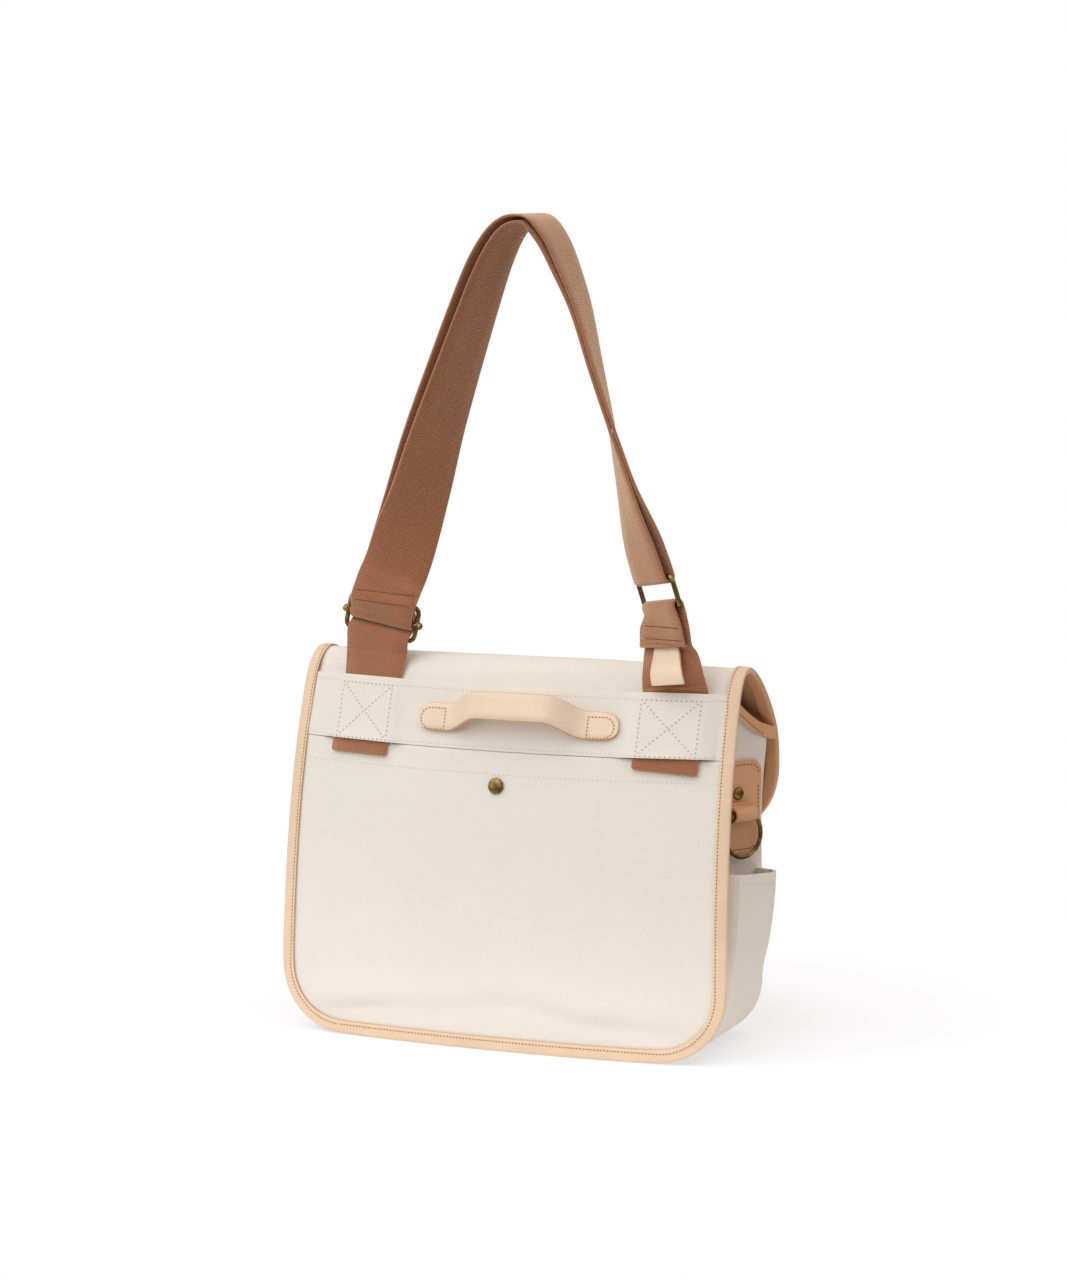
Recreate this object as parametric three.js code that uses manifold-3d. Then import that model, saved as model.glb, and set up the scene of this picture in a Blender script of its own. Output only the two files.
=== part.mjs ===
// Flap shoulder bag: canvas body, leather bindings, webbing strap and brass fittings.
// Millimetres, +Z up. Someone facing the back of the bag has +X to the right, and +Y points
// through the bag to the flap.
import * as THREE from 'three';
import { mergeVertices } from 'three/addons/utils/BufferGeometryUtils.js';
import Module from 'manifold-3d';

const wasm = await Module();
wasm.setup();

const { Vector2, Vector3, Matrix4 } = THREE;
const { clamp, lerp, smoothstep, degToRad, radToDeg } = THREE.MathUtils;
const up = new Vector3(0, 0, 1);

// Thicknesses, and the gap kept between pieces
const gap = 0.3;
// Wider gaps: inside the edge binding, inside and under the mouth binding, and round the wires
const bindingPlay = 0.65;
const mouthPlay = 1;
const mouthSeat = 0.65;
const wirePlay = 1.25;
const canvas = 2;
const thinCanvas = 1.3;
const bindingLeather = 1.2;
const webbing = { width: 48, thickness: 1.8 };

// The canvas sheet that is the back, the top and the flap, measured to its cut edge
const sheet = {
  halfWidthFoot: 176, halfWidthTop: 170.5, backLength: 290, cornerRadius: 49, columns: 10,
};

// Side view of the sheet from the foot of the back, over the top, to the end of the flap.
// y, z: the two side edges. bulge, crown: how far the middle moves along Y and Z.
const sheetRows = [
  { y: 0, z: 2.1, bulge: -13, crown: 0 },
  { y: 2.5, z: 75, bulge: -17, crown: 0 },
  { y: 9.5, z: 150, bulge: -21, crown: 0 },
  { y: 20, z: 205, bulge: -23, crown: 0 },
  { y: 31.5, z: 243, bulge: -24, crown: 0 },
  { y: 42.5, z: 270, bulge: -24, crown: 0.5 },
  { y: 51, z: 281, bulge: -21, crown: 2 },
  { y: 62, z: 284, bulge: -17, crown: 3 },
  { y: 79, z: 277, bulge: -9, crown: 4 },
  { y: 98, z: 263, bulge: -3, crown: 4 },
  { y: 115.5, z: 245, bulge: 2, crown: 3 },
  { y: 128, z: 226, bulge: 5, crown: 1 },
  { y: 131.5, z: 200, bulge: 7, crown: 0 },
  { y: 130.5, z: 172, bulge: 7, crown: 0 },
  { y: 128, z: 147, bulge: 6, crown: 0 },
];

// Heights and places on the back
const binding = { width: 10, round: 0.7 };
const band = { bottom: 221, top: 266, seat: 0.6, edgeRise: 1 };
const slipPocket = { footInset: 1, sideInset: 1.5 };
const anchors = { leftX: -114, leftLean: 2.5, rightX: 126, rightLean: 1.5, tail: 10, drop: 9 };
const snap = { x: 0, height: 196, radius: 6.25, dome: 2.6 };
const handle = {
  centreX: 11, height: 242, length: 156, width: 21, thickness: 3,
  standOff: 15, rise: 8, pad: 24, flank: 28, blunt: 0.6,
};

// Sides, bottom and front
const gusset = { inset: 8.5, cornerRadius: 45, mouthFlare: 5, flareFrom: 180 };
const fold = { depth: 26, place: 0.38, from: 20, full: 125, easeFrom: 215, ease: 0.8 };
const mouth = { back: 262, front: 231, sag: 1.9, bindingDepth: 8 };
const front = { y: 112, topLean: 2, leanFrom: 150, bulge: 6 };
const sidePocket = {
  foot: 10, rimBack: 140, rimFront: 127, swell: 17, fullHeight: 125,
  from: 0.05, to: 0.97, seam: 0.035, boxed: 0.12, wall: 1.5, seat: 0.7,
};
const patch = {
  bottom: 140, top: 209, middle: 0.79, halfSpan: 0.19, halfWidth: 22.5, cornerRadius: 10,
  thickness: 2, lift: 0.5,
};
const rivet = { height: 185, radius: 4.9, dome: 2.8, seat: 0.6 };
const ring = { radius: 17, wire: 1.5, centreHeight: 155 };
const keeper = { width: 20, tunnel: 4, leather: 1.6, top: 178.5, seat: 1.4 };

// Strap fittings of round wire
const slider = {
  halfWidth: 27.4, halfHeight: 13, wire: 1.75, corner: 5, knob: 2.7, knobReach: 31.5, knobLength: 3,
};
const strapRing = { halfWidth: 27, height: 22, wire: 1.8, corner: 4 };
const layerSpacing = 3;

// The strap's middle line from the slider over the shoulder to the ring's upper bar.
// turn: the compass angle of its width in plan, in degrees from +X.
const strapRows = [
  { x: -110, y: 27.6, z: 289, turn: 182 },
  { x: -106, y: 28.6, z: 312, turn: 184 },
  { x: -100.6, y: 29.6, z: 336, turn: 189 },
  { x: -93.7, y: 31, z: 355, turn: 201 },
  { x: -79.8, y: 33.5, z: 403, turn: 227 },
  { x: -66.4, y: 34.5, z: 451, turn: 239 },
  { x: -50.6, y: 35.6, z: 498.6, turn: 248 },
  { x: -34.2, y: 37, z: 546, turn: 255 },
  { x: -21, y: 39, z: 581, turn: 260 },
  { x: -6, y: 40, z: 604.5, turn: 264 },
  { x: 9, y: 40, z: 611, turn: 267 },
  { x: 24, y: 40, z: 597, turn: 270 },
  { x: 38, y: 38, z: 570, turn: 273 },
  { x: 48, y: 37, z: 547, turn: 277 },
  { x: 62.4, y: 32.5, z: 501, turn: 284 },
  { x: 77, y: 29, z: 455, turn: 292 },
  { x: 90.8, y: 26, z: 409, turn: 305 },
  { x: 103, y: 25.5, z: 374, turn: 318 },
  { x: 109.9, y: 27.5, z: 351, turn: 320 },
];

const colours = { canvas: 0xe8e1d6, leather: 0xf0cfa8, webbing: 0x8f5a3e, brass: 0x7a6636 };
const looks = {
  canvas: new THREE.MeshStandardMaterial({ color: colours.canvas, roughness: 0.9, metalness: 0 }),
  leather: new THREE.MeshStandardMaterial({ color: colours.leather, roughness: 0.55, metalness: 0 }),
  webbing: new THREE.MeshStandardMaterial({ color: colours.webbing, roughness: 0.85, metalness: 0 }),
  brass: new THREE.MeshStandardMaterial({ color: colours.brass, roughness: 0.4, metalness: 1 }),
};

const bag = new THREE.Group();

function add(name, look, geometry, placement) {
  const mesh = new THREE.Mesh(geometry, looks[look]);
  mesh.name = name;
  if (placement) mesh.applyMatrix4(placement);
  bag.add(mesh);
}

// Evenly spaced values, both ends included
function spread(from, to, steps) {
  return Array.from({ length: steps + 1 }, (_, i) => lerp(from, to, i / steps));
}

// A smooth value from rows of [place, value]
function along(rows, place) {
  if (place <= rows[0][0]) return rows[0][1];
  for (let i = 1; i < rows.length; i += 1) {
    const [before, low] = rows[i - 1];
    const [after, high] = rows[i];
    const share = (place - before) / (after - before);
    if (share <= 1) return lerp(low, high, (1 - Math.cos(Math.PI * share)) / 2);
  }
  return rows.at(-1)[1];
}

// A closed geometry from points and triangles, turned so that its faces point out
function solid(points, faces) {
  let volume = 0;
  for (let i = 0; i < faces.length; i += 3) {
    const [a, b, c] = [points[faces[i]], points[faces[i + 1]], points[faces[i + 2]]];
    volume += a.dot(b.clone().cross(c));
  }
  const geometry = new THREE.BufferGeometry().setFromPoints(points);
  geometry.setIndex(volume < 0 ? [...faces].reverse() : faces);
  geometry.computeVertexNormals();
  return geometry;
}

// Two triangles of a quad, cut along a to c or along b to d
function quad(faces, a, b, c, d, otherWay = false) {
  if (otherWay) faces.push(b, c, d, b, d, a);
  else faces.push(a, b, c, a, c, d);
}

// A wall between two matching grids of points
function wall(faceA, faceB) {
  const rows = faceA.length;
  const columns = faceA[0].length;
  const points = [...faceA.flat(), ...faceB.flat()];
  const id = (side, i, j) => (side * rows + i) * columns + j;
  const faces = [];
  for (let i = 0; i < rows - 1; i += 1) {
    for (let j = 0; j < columns - 1; j += 1) {
      quad(faces, id(0, i, j), id(0, i, j + 1), id(0, i + 1, j + 1), id(0, i + 1, j));
      quad(faces, id(1, i, j), id(1, i + 1, j), id(1, i + 1, j + 1), id(1, i, j + 1));
    }
    const last = columns - 1;
    quad(faces, id(0, i, 0), id(0, i + 1, 0), id(1, i + 1, 0), id(1, i, 0));
    quad(faces, id(0, i, last), id(1, i, last), id(1, i + 1, last), id(0, i + 1, last));
  }
  for (let j = 0; j < columns - 1; j += 1) {
    const last = rows - 1;
    quad(faces, id(0, 0, j), id(1, 0, j), id(1, 0, j + 1), id(0, 0, j + 1));
    quad(faces, id(0, last, j), id(0, last, j + 1), id(1, last, j + 1), id(1, last, j));
  }
  return solid(points, faces);
}

// The same grid moved along its own normals
function offsetGrid(grid, distance) {
  const at = (i, j) => grid[clamp(i, 0, grid.length - 1)][clamp(j, 0, grid[0].length - 1)];
  return grid.map((row, i) => row.map((point, j) => {
    const down = at(i + 1, j).clone().sub(at(i - 1, j));
    const across = at(i, j + 1).clone().sub(at(i, j - 1));
    return point.clone().addScaledVector(down.cross(across).normalize(), distance);
  }));
}

// A section carried along a path: one ring of points at each stop, closed round or capped.
// capOutline is the flat outline of the section, from which the caps are cut.
// otherWay tells for a span and a side which way its quad is cut.
function sweep(sections, capOutline, otherWay = () => false) {
  const sides = sections[0].length;
  const stops = sections.length;
  const id = (i, j) => (i % stops) * sides + (j % sides);
  const faces = [];
  const spans = capOutline ? stops - 1 : stops;
  for (let i = 0; i < spans; i += 1) {
    for (let j = 0; j < sides; j += 1) {
      quad(faces, id(i, j), id(i + 1, j), id(i + 1, j + 1), id(i, j + 1), otherWay(i, j));
    }
  }
  if (capOutline) {
    const contour = capOutline.map(([x, y]) => new Vector2(x, y));
    for (const [a, b, c] of THREE.ShapeUtils.triangulateShape(contour, [])) {
      const turned = THREE.ShapeUtils.isClockWise([contour[a], contour[b], contour[c]])
        !== THREE.ShapeUtils.isClockWise(contour);
      const [p, q] = turned ? [c, b] : [b, c];
      faces.push(id(0, a), id(0, p), id(0, q));
      faces.push(id(stops - 1, a), id(stops - 1, q), id(stops - 1, p));
    }
  }
  return solid(sections.flat(), faces);
}

// A section outline of [x, y] pairs placed at a point with its two axes
function place(outline, origin, xAxis, yAxis) {
  return outline.map(([x, y]) => origin.clone().addScaledVector(xAxis, x).addScaledVector(yAxis, y));
}

// A flat strip along stops of { at, across, half }: its middle, width direction and half width.
// Its two faces, and those of a layer that comes back beside it, are cut the same way, so a twist
// doesn't bring them together.
function strip(stops, thickness) {
  const sections = stops.map(({ at, across, half }, i) => {
    const ahead = stops[Math.min(i + 1, stops.length - 1)].at;
    const tangent = ahead.clone().sub(stops[Math.max(i - 1, 0)].at).normalize();
    const width = across.clone().addScaledVector(tangent, -across.dot(tangent)).normalize();
    const normal = width.clone().cross(tangent);
    const t = thickness / 2;
    return place([[-half, -t], [half, -t], [half, t], [-half, t]], at, width, normal);
  });
  const front = 2;
  const otherWay = (i, side) => (side === front) !== Boolean(stops[i].comesBack);
  return sweep(sections, [[-1, -1], [1, -1], [1, 1], [-1, 1]], otherWay);
}

// The same stops on a strip's way back
function comingBack(stops) {
  return stops.map((stop) => ({ ...stop, comesBack: true }));
}

// A closed loop of round wire through points in one plane
function wireLoop(points, normal, radius, sides = 7) {
  const sections = points.map((point, i) => {
    const next = points[(i + 1) % points.length];
    const tangent = next.clone().sub(points.at(i - 1)).normalize();
    const outward = tangent.cross(normal).normalize();
    const outline = spread(0, 2 * Math.PI, sides).slice(0, -1)
      .map((angle) => [radius * Math.cos(angle), radius * Math.sin(angle)]);
    return place(outline, point, outward, normal);
  });
  return sweep(sections);
}

// Corner-rounded rectangle in the plane of two axes
function roundedLoop(centre, xAxis, yAxis, halfX, halfY, corner, steps = 3) {
  const quarters = [[1, 1, 0], [-1, 1, 90], [-1, -1, 180], [1, -1, 270]];
  return quarters.flatMap(([sideX, sideY, start]) => spread(start, start + 90, steps).map((degrees) => {
    const angle = degToRad(degrees);
    const x = sideX * (halfX - corner) + corner * Math.cos(angle);
    const y = sideY * (halfY - corner) + corner * Math.sin(angle);
    return centre.clone().addScaledVector(xAxis, x).addScaledVector(yAxis, y);
  }));
}

function toManifold(geometry) {
  const bare = geometry.clone();
  bare.deleteAttribute('normal');
  bare.deleteAttribute('uv');
  const merged = mergeVertices(bare, 1e-4);
  return new wasm.Manifold(new wasm.Mesh({
    numProp: 3,
    vertProperties: new Float32Array(merged.attributes.position.array),
    triVerts: new Uint32Array(merged.index.array),
  }));
}

function fromManifold(body) {
  const { vertProperties, triVerts } = body.getMesh();
  const geometry = new THREE.BufferGeometry();
  geometry.setAttribute('position', new THREE.BufferAttribute(vertProperties, 3));
  geometry.setIndex(new THREE.BufferAttribute(triVerts, 1));
  geometry.computeVertexNormals();
  return geometry;
}

// A low domed cap standing along +Y, with its flat side at zero
function domedCap(radius, height) {
  const rim = height * 0.35;
  const profile = [new Vector2(0, 0), new Vector2(radius * 0.92, 0), new Vector2(radius, rim * 0.5)];
  for (const angle of spread(0, 90, 4)) {
    const turn = degToRad(angle);
    profile.push(new Vector2(radius * 0.96 * Math.cos(turn), rim + (height - rim) * Math.sin(turn)));
  }
  profile.at(-1).x = 0;
  return new THREE.LatheGeometry(profile, 12);
}

// The sheet's surface
const edgeCurve = new THREE.CatmullRomCurve3(sheetRows.map(({ y, z }) => new Vector3(0, y, z)));
const middleCurve = new THREE.CatmullRomCurve3(
  sheetRows.map(({ bulge, crown }) => new Vector3(0, bulge, crown)),
);
edgeCurve.arcLengthDivisions = 600;
const sheetLength = edgeCurve.getLength();

// Half width of the sheet at a distance along it, with its corners left square
function sheetHalfWidth(distance) {
  return lerp(sheet.halfWidthFoot, sheet.halfWidthTop, clamp(distance / sheet.backLength, 0, 1));
}

// The same with the round corners of the foot and of the flap
function sheetEdge(distance) {
  const radius = sheet.cornerRadius;
  const inward = radius - Math.min(distance, sheetLength - distance);
  const rounding = inward > 0 ? radius - Math.sqrt(Math.max(radius ** 2 - inward ** 2, 0)) : 0;
  return sheetHalfWidth(distance) - rounding;
}

function sheetPoint(distance, x, lift = 0) {
  const t = edgeCurve.getUtoTmapping(clamp(distance / sheetLength, 0, 1));
  const edge = edgeCurve.getPoint(t);
  const middle = middleCurve.getPoint(t);
  const fade = 1 - (x / sheetHalfWidth(distance)) ** 2;
  const point = new Vector3(x, edge.y + middle.y * fade, edge.z + middle.z * fade);
  return lift === 0 ? point : point.addScaledVector(sheetNormal(distance, x), lift);
}

function sheetNormal(distance, x) {
  const step = 0.5;
  const rise = sheetPoint(distance + step, x).sub(sheetPoint(distance - step, x));
  const across = sheetPoint(distance, x + step).sub(sheetPoint(distance, x - step));
  return across.cross(rise).normalize();
}

// Distance along the back at which the side edge reaches a height
function backDistance(height) {
  let low = 0;
  let high = sheet.backLength;
  for (let i = 0; i < 40; i += 1) {
    const middle = (low + high) / 2;
    if (edgeCurve.getPointAt(middle / sheetLength).z < height) low = middle;
    else high = middle;
  }
  return low;
}

const bandFoot = backDistance(band.bottom);
const bandHead = backDistance(band.top);

// Rows of the sheet: close together round its corners and over the top
const cornerRows = spread(0, 90, 5).map((angle) => sheet.cornerRadius * (1 - Math.cos(degToRad(angle))));
const bends = { from: 255, to: 385 };
const evenRows = [
  ...spread(sheet.cornerRadius, bends.from, 8),
  ...spread(bends.from, bends.to, 13).slice(1),
  ...spread(bends.to, sheetLength - sheet.cornerRadius, 4).slice(1),
].slice(1, -1);
const sheetStops = [...cornerRows, ...evenRows, ...cornerRows.map((row) => sheetLength - row).reverse()];
const sheetShares = spread(-1, 1, sheet.columns);

function sheetGrid(stops, shares, lift, margin = 0) {
  const liftAt = typeof lift === 'function' ? lift : () => lift;
  return stops.map((distance) => shares.map((share) => {
    const x = share * (sheetEdge(distance) - margin);
    return sheetPoint(distance, x, liftAt(distance, x));
  }));
}

add('back_flap_sheet', 'canvas', wall(
  sheetGrid(sheetStops, sheetShares, 0),
  sheetGrid(sheetStops, sheetShares, -canvas),
));

// Leather binding: a channel over the sheet's edge, deeper where the pocket and band lie under it
const outerLayer = thinCanvas + gap;
const shallowing = { from: bandHead + 4, to: bandHead + 18 };

function bindingOutline(distance) {
  const { round } = binding;
  const layer = (band.seat + thinCanvas) * (1 - smoothstep(distance, shallowing.from, shallowing.to));
  const reach = bindingPlay + bindingLeather;
  const inner = reach - binding.width;
  const over = layer + gap;
  const under = -canvas - bindingPlay;
  return [
    [inner, over], [inner, over + bindingLeather], [reach - round, over + bindingLeather],
    [reach, over + bindingLeather - round], [reach, under - bindingLeather + round],
    [reach - round, under - bindingLeather], [inner, under - bindingLeather], [inner, under],
    [bindingPlay, under], [bindingPlay, over],
  ];
}

function sheetOutline() {
  const right = sheetStops.slice(1, -1).map((distance) => [distance, sheetEdge(distance)]);
  const foot = sheetShares.map((share) => [0, share * sheetEdge(0)]);
  const end = sheetShares.map((share) => [sheetLength, -share * sheetEdge(sheetLength)]);
  const left = right.map(([distance, x]) => [distance, -x]).reverse();
  return [...foot, ...right, ...end, ...left];
}

const outlineStops = sheetOutline();
const outlinePoints = outlineStops.map(([distance, x]) => sheetPoint(distance, x));
add('edge_binding', 'leather', sweep(outlineStops.map(([distance, x], i) => {
  const next = outlinePoints[(i + 1) % outlinePoints.length];
  const tangent = next.clone().sub(outlinePoints.at(i - 1)).normalize();
  const normal = sheetNormal(distance, x);
  const outward = tangent.cross(normal).normalize();
  return place(bindingOutline(distance), outlinePoints[i], outward, normal);
})));

// Slip pocket on the back, its edges inside the binding, its mouth at the foot of the band
const pocketHead = bandFoot - 2 * gap;
const pocketStops = [
  ...cornerRows.map((row) => row + slipPocket.footInset),
  ...spread(sheet.cornerRadius, pocketHead, 8).slice(1),
];
add('back_pocket', 'canvas', wall(
  sheetGrid(pocketStops, sheetShares, outerLayer, slipPocket.sideInset),
  sheetGrid(pocketStops, sheetShares, gap, slipPocket.sideInset),
));

// Webbing anchors: x of each one's middle at a distance along the back
function anchorX(side, distance) {
  const share = (distance - (bandFoot + bandHead) / 2) / (bandHead - bandFoot);
  return side < 0 ? anchors.leftX + anchors.leftLean * share : anchors.rightX + anchors.rightLean * share;
}

// Height of an anchor's middle above the sheet: on the pocket at its tail, then down on the sheet
function anchorLift(distance) {
  const drop = smoothstep(distance, bandFoot, bandFoot + anchors.drop);
  return gap + webbing.thickness / 2 + outerLayer * (1 - drop);
}

// Band over both anchors, whose flat edges rise a little off the round of the back.
// Beside an anchor the band comes down between these two distances from its edge.
const bandSlope = { from: 3, to: 10 };

function bandLift(distance, x) {
  const half = webbing.width / 2;
  let cover = 0;
  for (const side of [-1, 1]) {
    const away = Math.abs(x - anchorX(side, distance)) - half;
    cover = Math.max(cover, 1 - smoothstep(away, bandSlope.from, bandSlope.to));
  }
  return band.seat + cover * (anchorLift(distance) + webbing.thickness / 2 + band.edgeRise);
}

const bandStops = [bandFoot, bandFoot + 5, bandFoot + 10, ...spread(bandFoot + 10, bandHead, 3).slice(1)];
const bandHalf = sheetEdge(bandFoot) - slipPocket.footInset;
const bandPlaces = [-1, -0.9, -0.4, -0.2, 0, 0.2, 0.4, 0.95, 1].map((share) => share * bandHalf);
for (const side of [-1, 1]) {
  const middle = anchorX(side, (bandFoot + bandHead) / 2);
  const half = webbing.width / 2;
  bandPlaces.push(middle);
  for (const beside of [bandSlope.from, bandSlope.to]) {
    bandPlaces.push(middle - half - beside, middle + half + beside);
  }
}
bandPlaces.sort((a, b) => a - b);
const bandGrid = (extra) => bandStops.map((distance) => bandPlaces.map((x) => (
  sheetPoint(distance, x, bandLift(distance, x) + extra)
)));
add('anchor_band', 'canvas', wall(bandGrid(thinCanvas), bandGrid(0)));

// Snap cap of the slip pocket
const snapDistance = backDistance(snap.height);
const snapNormal = sheetNormal(snapDistance, snap.x);
const snapSide = snapNormal.clone().cross(up).normalize();
add('pocket_snap', 'brass', domedCap(snap.radius, snap.dome), new Matrix4()
  .makeBasis(snapSide, snapNormal, snapSide.clone().cross(snapNormal))
  .setPosition(sheetPoint(snapDistance, snap.x, outerLayer + gap)));

// Leather handle: two sewn D ends and an arch that stands off the band
const handleDistance = backDistance(handle.height);
const handleBase = band.seat + thinCanvas + gap + handle.thickness / 2;

function handleStop(place) {
  const fromEnd = handle.length / 2 - Math.abs(place);
  const arch = smoothstep(fromEnd, handle.pad, handle.pad + handle.flank);
  const distance = handleDistance + handle.rise * arch;
  const x = handle.centreX + place;
  const radius = handle.width / 2;
  const inward = Math.max(radius - fromEnd - handle.blunt, 0);
  return {
    at: sheetPoint(distance, x, handleBase + handle.standOff * arch),
    across: sheetPoint(distance + 1, x).sub(sheetPoint(distance - 1, x)).normalize(),
    half: Math.sqrt(radius ** 2 - inward ** 2),
  };
}

const handleEnds = [0, 0.8, 2.5, 5, 10.5, 18];
const archHalf = handle.length / 2 - handle.pad;
const handlePlaces = [
  ...handleEnds.map((inset) => inset - handle.length / 2),
  ...spread(-archHalf, archHalf, 18),
  ...handleEnds.map((inset) => handle.length / 2 - inset).reverse(),
];
add('grab_handle', 'leather', strip(handlePlaces.map(handleStop), handle.thickness));

// Sides and bottom
const gussetFoot = sheet.halfWidthFoot - gusset.inset;

function gussetHalfWidth(z) {
  return lerp(gussetFoot, sheet.halfWidthTop - gusset.inset, clamp(z / sheet.backLength, 0, 1));
}

function mouthHeight(v) {
  return mouth.back + (mouth.front - mouth.back) * v ** mouth.sag;
}

// How far the side is folded inwards: deepest at fold.place between the back (0) and the front (1)
function foldIn(z, v) {
  const quarter = Math.PI / 2;
  const shape = v < fold.place
    ? Math.sin(quarter * v / fold.place)
    : Math.cos(quarter * (v - fold.place) / (1 - fold.place));
  const eased = 1 - fold.ease * smoothstep(z, fold.easeFrom, mouth.back);
  return fold.depth * smoothstep(z, fold.from, fold.full) * eased * Math.max(shape, 0);
}

function frontY(z) {
  return front.y + front.topLean * smoothstep(z, front.leanFrom, mouth.front);
}

// Rear face of the back at a place of the outline, behind the binding's inner leg
function backSeat(x, z) {
  const distance = backDistance(Math.max(z, sheetRows[0].z));
  const depth = canvas + bindingLeather + 2 * bindingPlay;
  return sheetPoint(distance, x).y + depth / Math.abs(sheetNormal(distance, x).y);
}

// Half width of the body's outline at a height, with its round lower corners
function bodyOutline(z) {
  const radius = gusset.cornerRadius;
  const inward = Math.max(radius - z, 0);
  return gussetHalfWidth(z) - (radius - Math.sqrt(Math.max(radius ** 2 - inward ** 2, 0)));
}

function mouthFlare(z, v) {
  return gusset.mouthFlare * v * smoothstep(z, gusset.flareFrom, mouth.front);
}

function gussetPoint(x, z, v, inward = 0) {
  const y = lerp(backSeat(x, z), frontY(z) - gap, v);
  return new Vector3(x - Math.sign(x) * inward, y, z);
}

function gussetSide(side, z, v) {
  return gussetPoint(side * bodyOutline(z), z, v, foldIn(z, v) - mouthFlare(z, v));
}

const gussetColumns = [0, 0.1, 0.22, 0.34, 0.46, 0.58, 0.7, 0.82, 0.92, 1];
const sideShares = spread(0, 1, 10);
const cornerAngles = spread(0, 90, 5).slice(1);

function gussetRow(side, share) {
  return gussetColumns.map((v) => gussetSide(side, lerp(mouthHeight(v), gusset.cornerRadius, share), v));
}

function gussetCornerRow(side, angle) {
  const z = gusset.cornerRadius * (1 - Math.sin(degToRad(angle)));
  return gussetColumns.map((v) => gussetSide(side, z, v));
}

const baseHalf = gussetFoot - gusset.cornerRadius;
const gussetOuter = [
  ...sideShares.map((share) => gussetRow(1, share)),
  ...cornerAngles.map((angle) => gussetCornerRow(1, angle)),
  ...spread(baseHalf, -baseHalf, 5).slice(1, -1).map((x) => gussetColumns.map((v) => gussetPoint(x, 0, v))),
  ...cornerAngles.toReversed().map((angle) => gussetCornerRow(-1, angle)),
  ...sideShares.toReversed().map((share) => gussetRow(-1, share)),
];
const gussetInner = offsetGrid(gussetOuter, -canvas);
gussetInner.forEach((row, i) => {
  for (const j of [0, row.length - 1]) row[j].y = gussetOuter[i][j].y;
});
for (const i of [0, gussetInner.length - 1]) {
  gussetInner[i].forEach((point, j) => point.setZ(gussetOuter[i][j].z));
}
add('gusset', 'canvas', wall(gussetOuter, gussetInner));

// Front panel
const frontStops = [
  ...spread(0, 90, 5).map((angle) => gusset.cornerRadius * (1 - Math.cos(degToRad(angle)))),
  ...spread(gusset.cornerRadius, mouth.front, 7).slice(1),
];
const frontShares = spread(-1, 1, 8);

function frontGrid(thickness) {
  return frontStops.map((z) => frontShares.map((share) => {
    const half = bodyOutline(z) + mouthFlare(z, 1);
    const belly = front.bulge * Math.sin(Math.PI * z / mouth.front) * (1 - share ** 2);
    return new Vector3(share * half, frontY(z) + belly + thickness, z);
  }));
}

const frontInner = frontGrid(0);
const frontOuter = frontGrid(canvas);
add('front_panel', 'canvas', wall(frontOuter, frontInner));

// Leather binding over the mouth: up one side's edge, along the front and back up the other side
function mouthStop(outer, inner, outerBelow) {
  const rise = outer.clone().sub(outerBelow).normalize();
  const outward = outer.clone().sub(inner);
  outward.addScaledVector(rise, -outward.dot(rise)).normalize();
  return { at: outer.clone().add(inner).multiplyScalar(0.5), outward, rise };
}

function mouthSide(row, below) {
  const last = gussetColumns.length - 1;
  return gussetColumns.slice(1, last).map((_, k) => {
    const j = k + 1;
    return mouthStop(gussetOuter[row][j], gussetInner[row][j], gussetOuter[below][j]);
  });
}

// Mitred stop where the side's edge meets the front's
function mouthCorner(side) {
  const [before, outer] = gussetOuter.at(side > 0 ? 0 : -1).slice(-2);
  const run = outer.clone().sub(before).setZ(0).normalize();
  const sideOut = run.clone().cross(up).multiplyScalar(side);
  const at = outer.clone().addScaledVector(sideOut, -canvas / 2);
  at.addScaledVector(run, (gap + canvas / 2) / run.y);
  const outward = new Vector3((1 - sideOut.y) / sideOut.x, 1, 0);
  return { at, outward, rise: up };
}

const mouthFront = frontShares.slice(1, -1).map((_, k) => (
  mouthStop(frontOuter.at(-1)[k + 1], frontInner.at(-1)[k + 1], frontOuter.at(-2)[k + 1])
)).reverse();
const mouthStops = [
  ...mouthSide(0, 1),
  mouthCorner(1),
  ...mouthFront,
  mouthCorner(-1),
  ...mouthSide(gussetOuter.length - 1, gussetOuter.length - 2).reverse(),
];
const mouthInside = canvas / 2 + mouthPlay;
const mouthOutside = mouthInside + bindingLeather;
const mouthOutline = [
  [mouthInside, -mouth.bindingDepth], [mouthOutside, -mouth.bindingDepth],
  [mouthOutside, mouthSeat + bindingLeather / 2], [mouthInside, mouthSeat + bindingLeather],
  [-mouthInside, mouthSeat + bindingLeather], [-mouthOutside, mouthSeat + bindingLeather / 2],
  [-mouthOutside, -mouth.bindingDepth], [-mouthInside, -mouth.bindingDepth],
  [-mouthInside, mouthSeat], [mouthInside, mouthSeat],
];
add('mouth_binding', 'leather', sweep(mouthStops.map(({ at, outward, rise }) => (
  place(mouthOutline, at, outward, rise)
)), mouthOutline));

// What each side carries: an open pocket, and a leather patch with a ring in its keeper
function sideNormal(side, z, v) {
  const step = 0.02;
  const forward = gussetSide(side, z, v + step).sub(gussetSide(side, z, v - step));
  const upward = gussetSide(side, z + 1, v).sub(gussetSide(side, z - 1, v));
  return forward.cross(upward).multiplyScalar(side).normalize();
}

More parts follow.
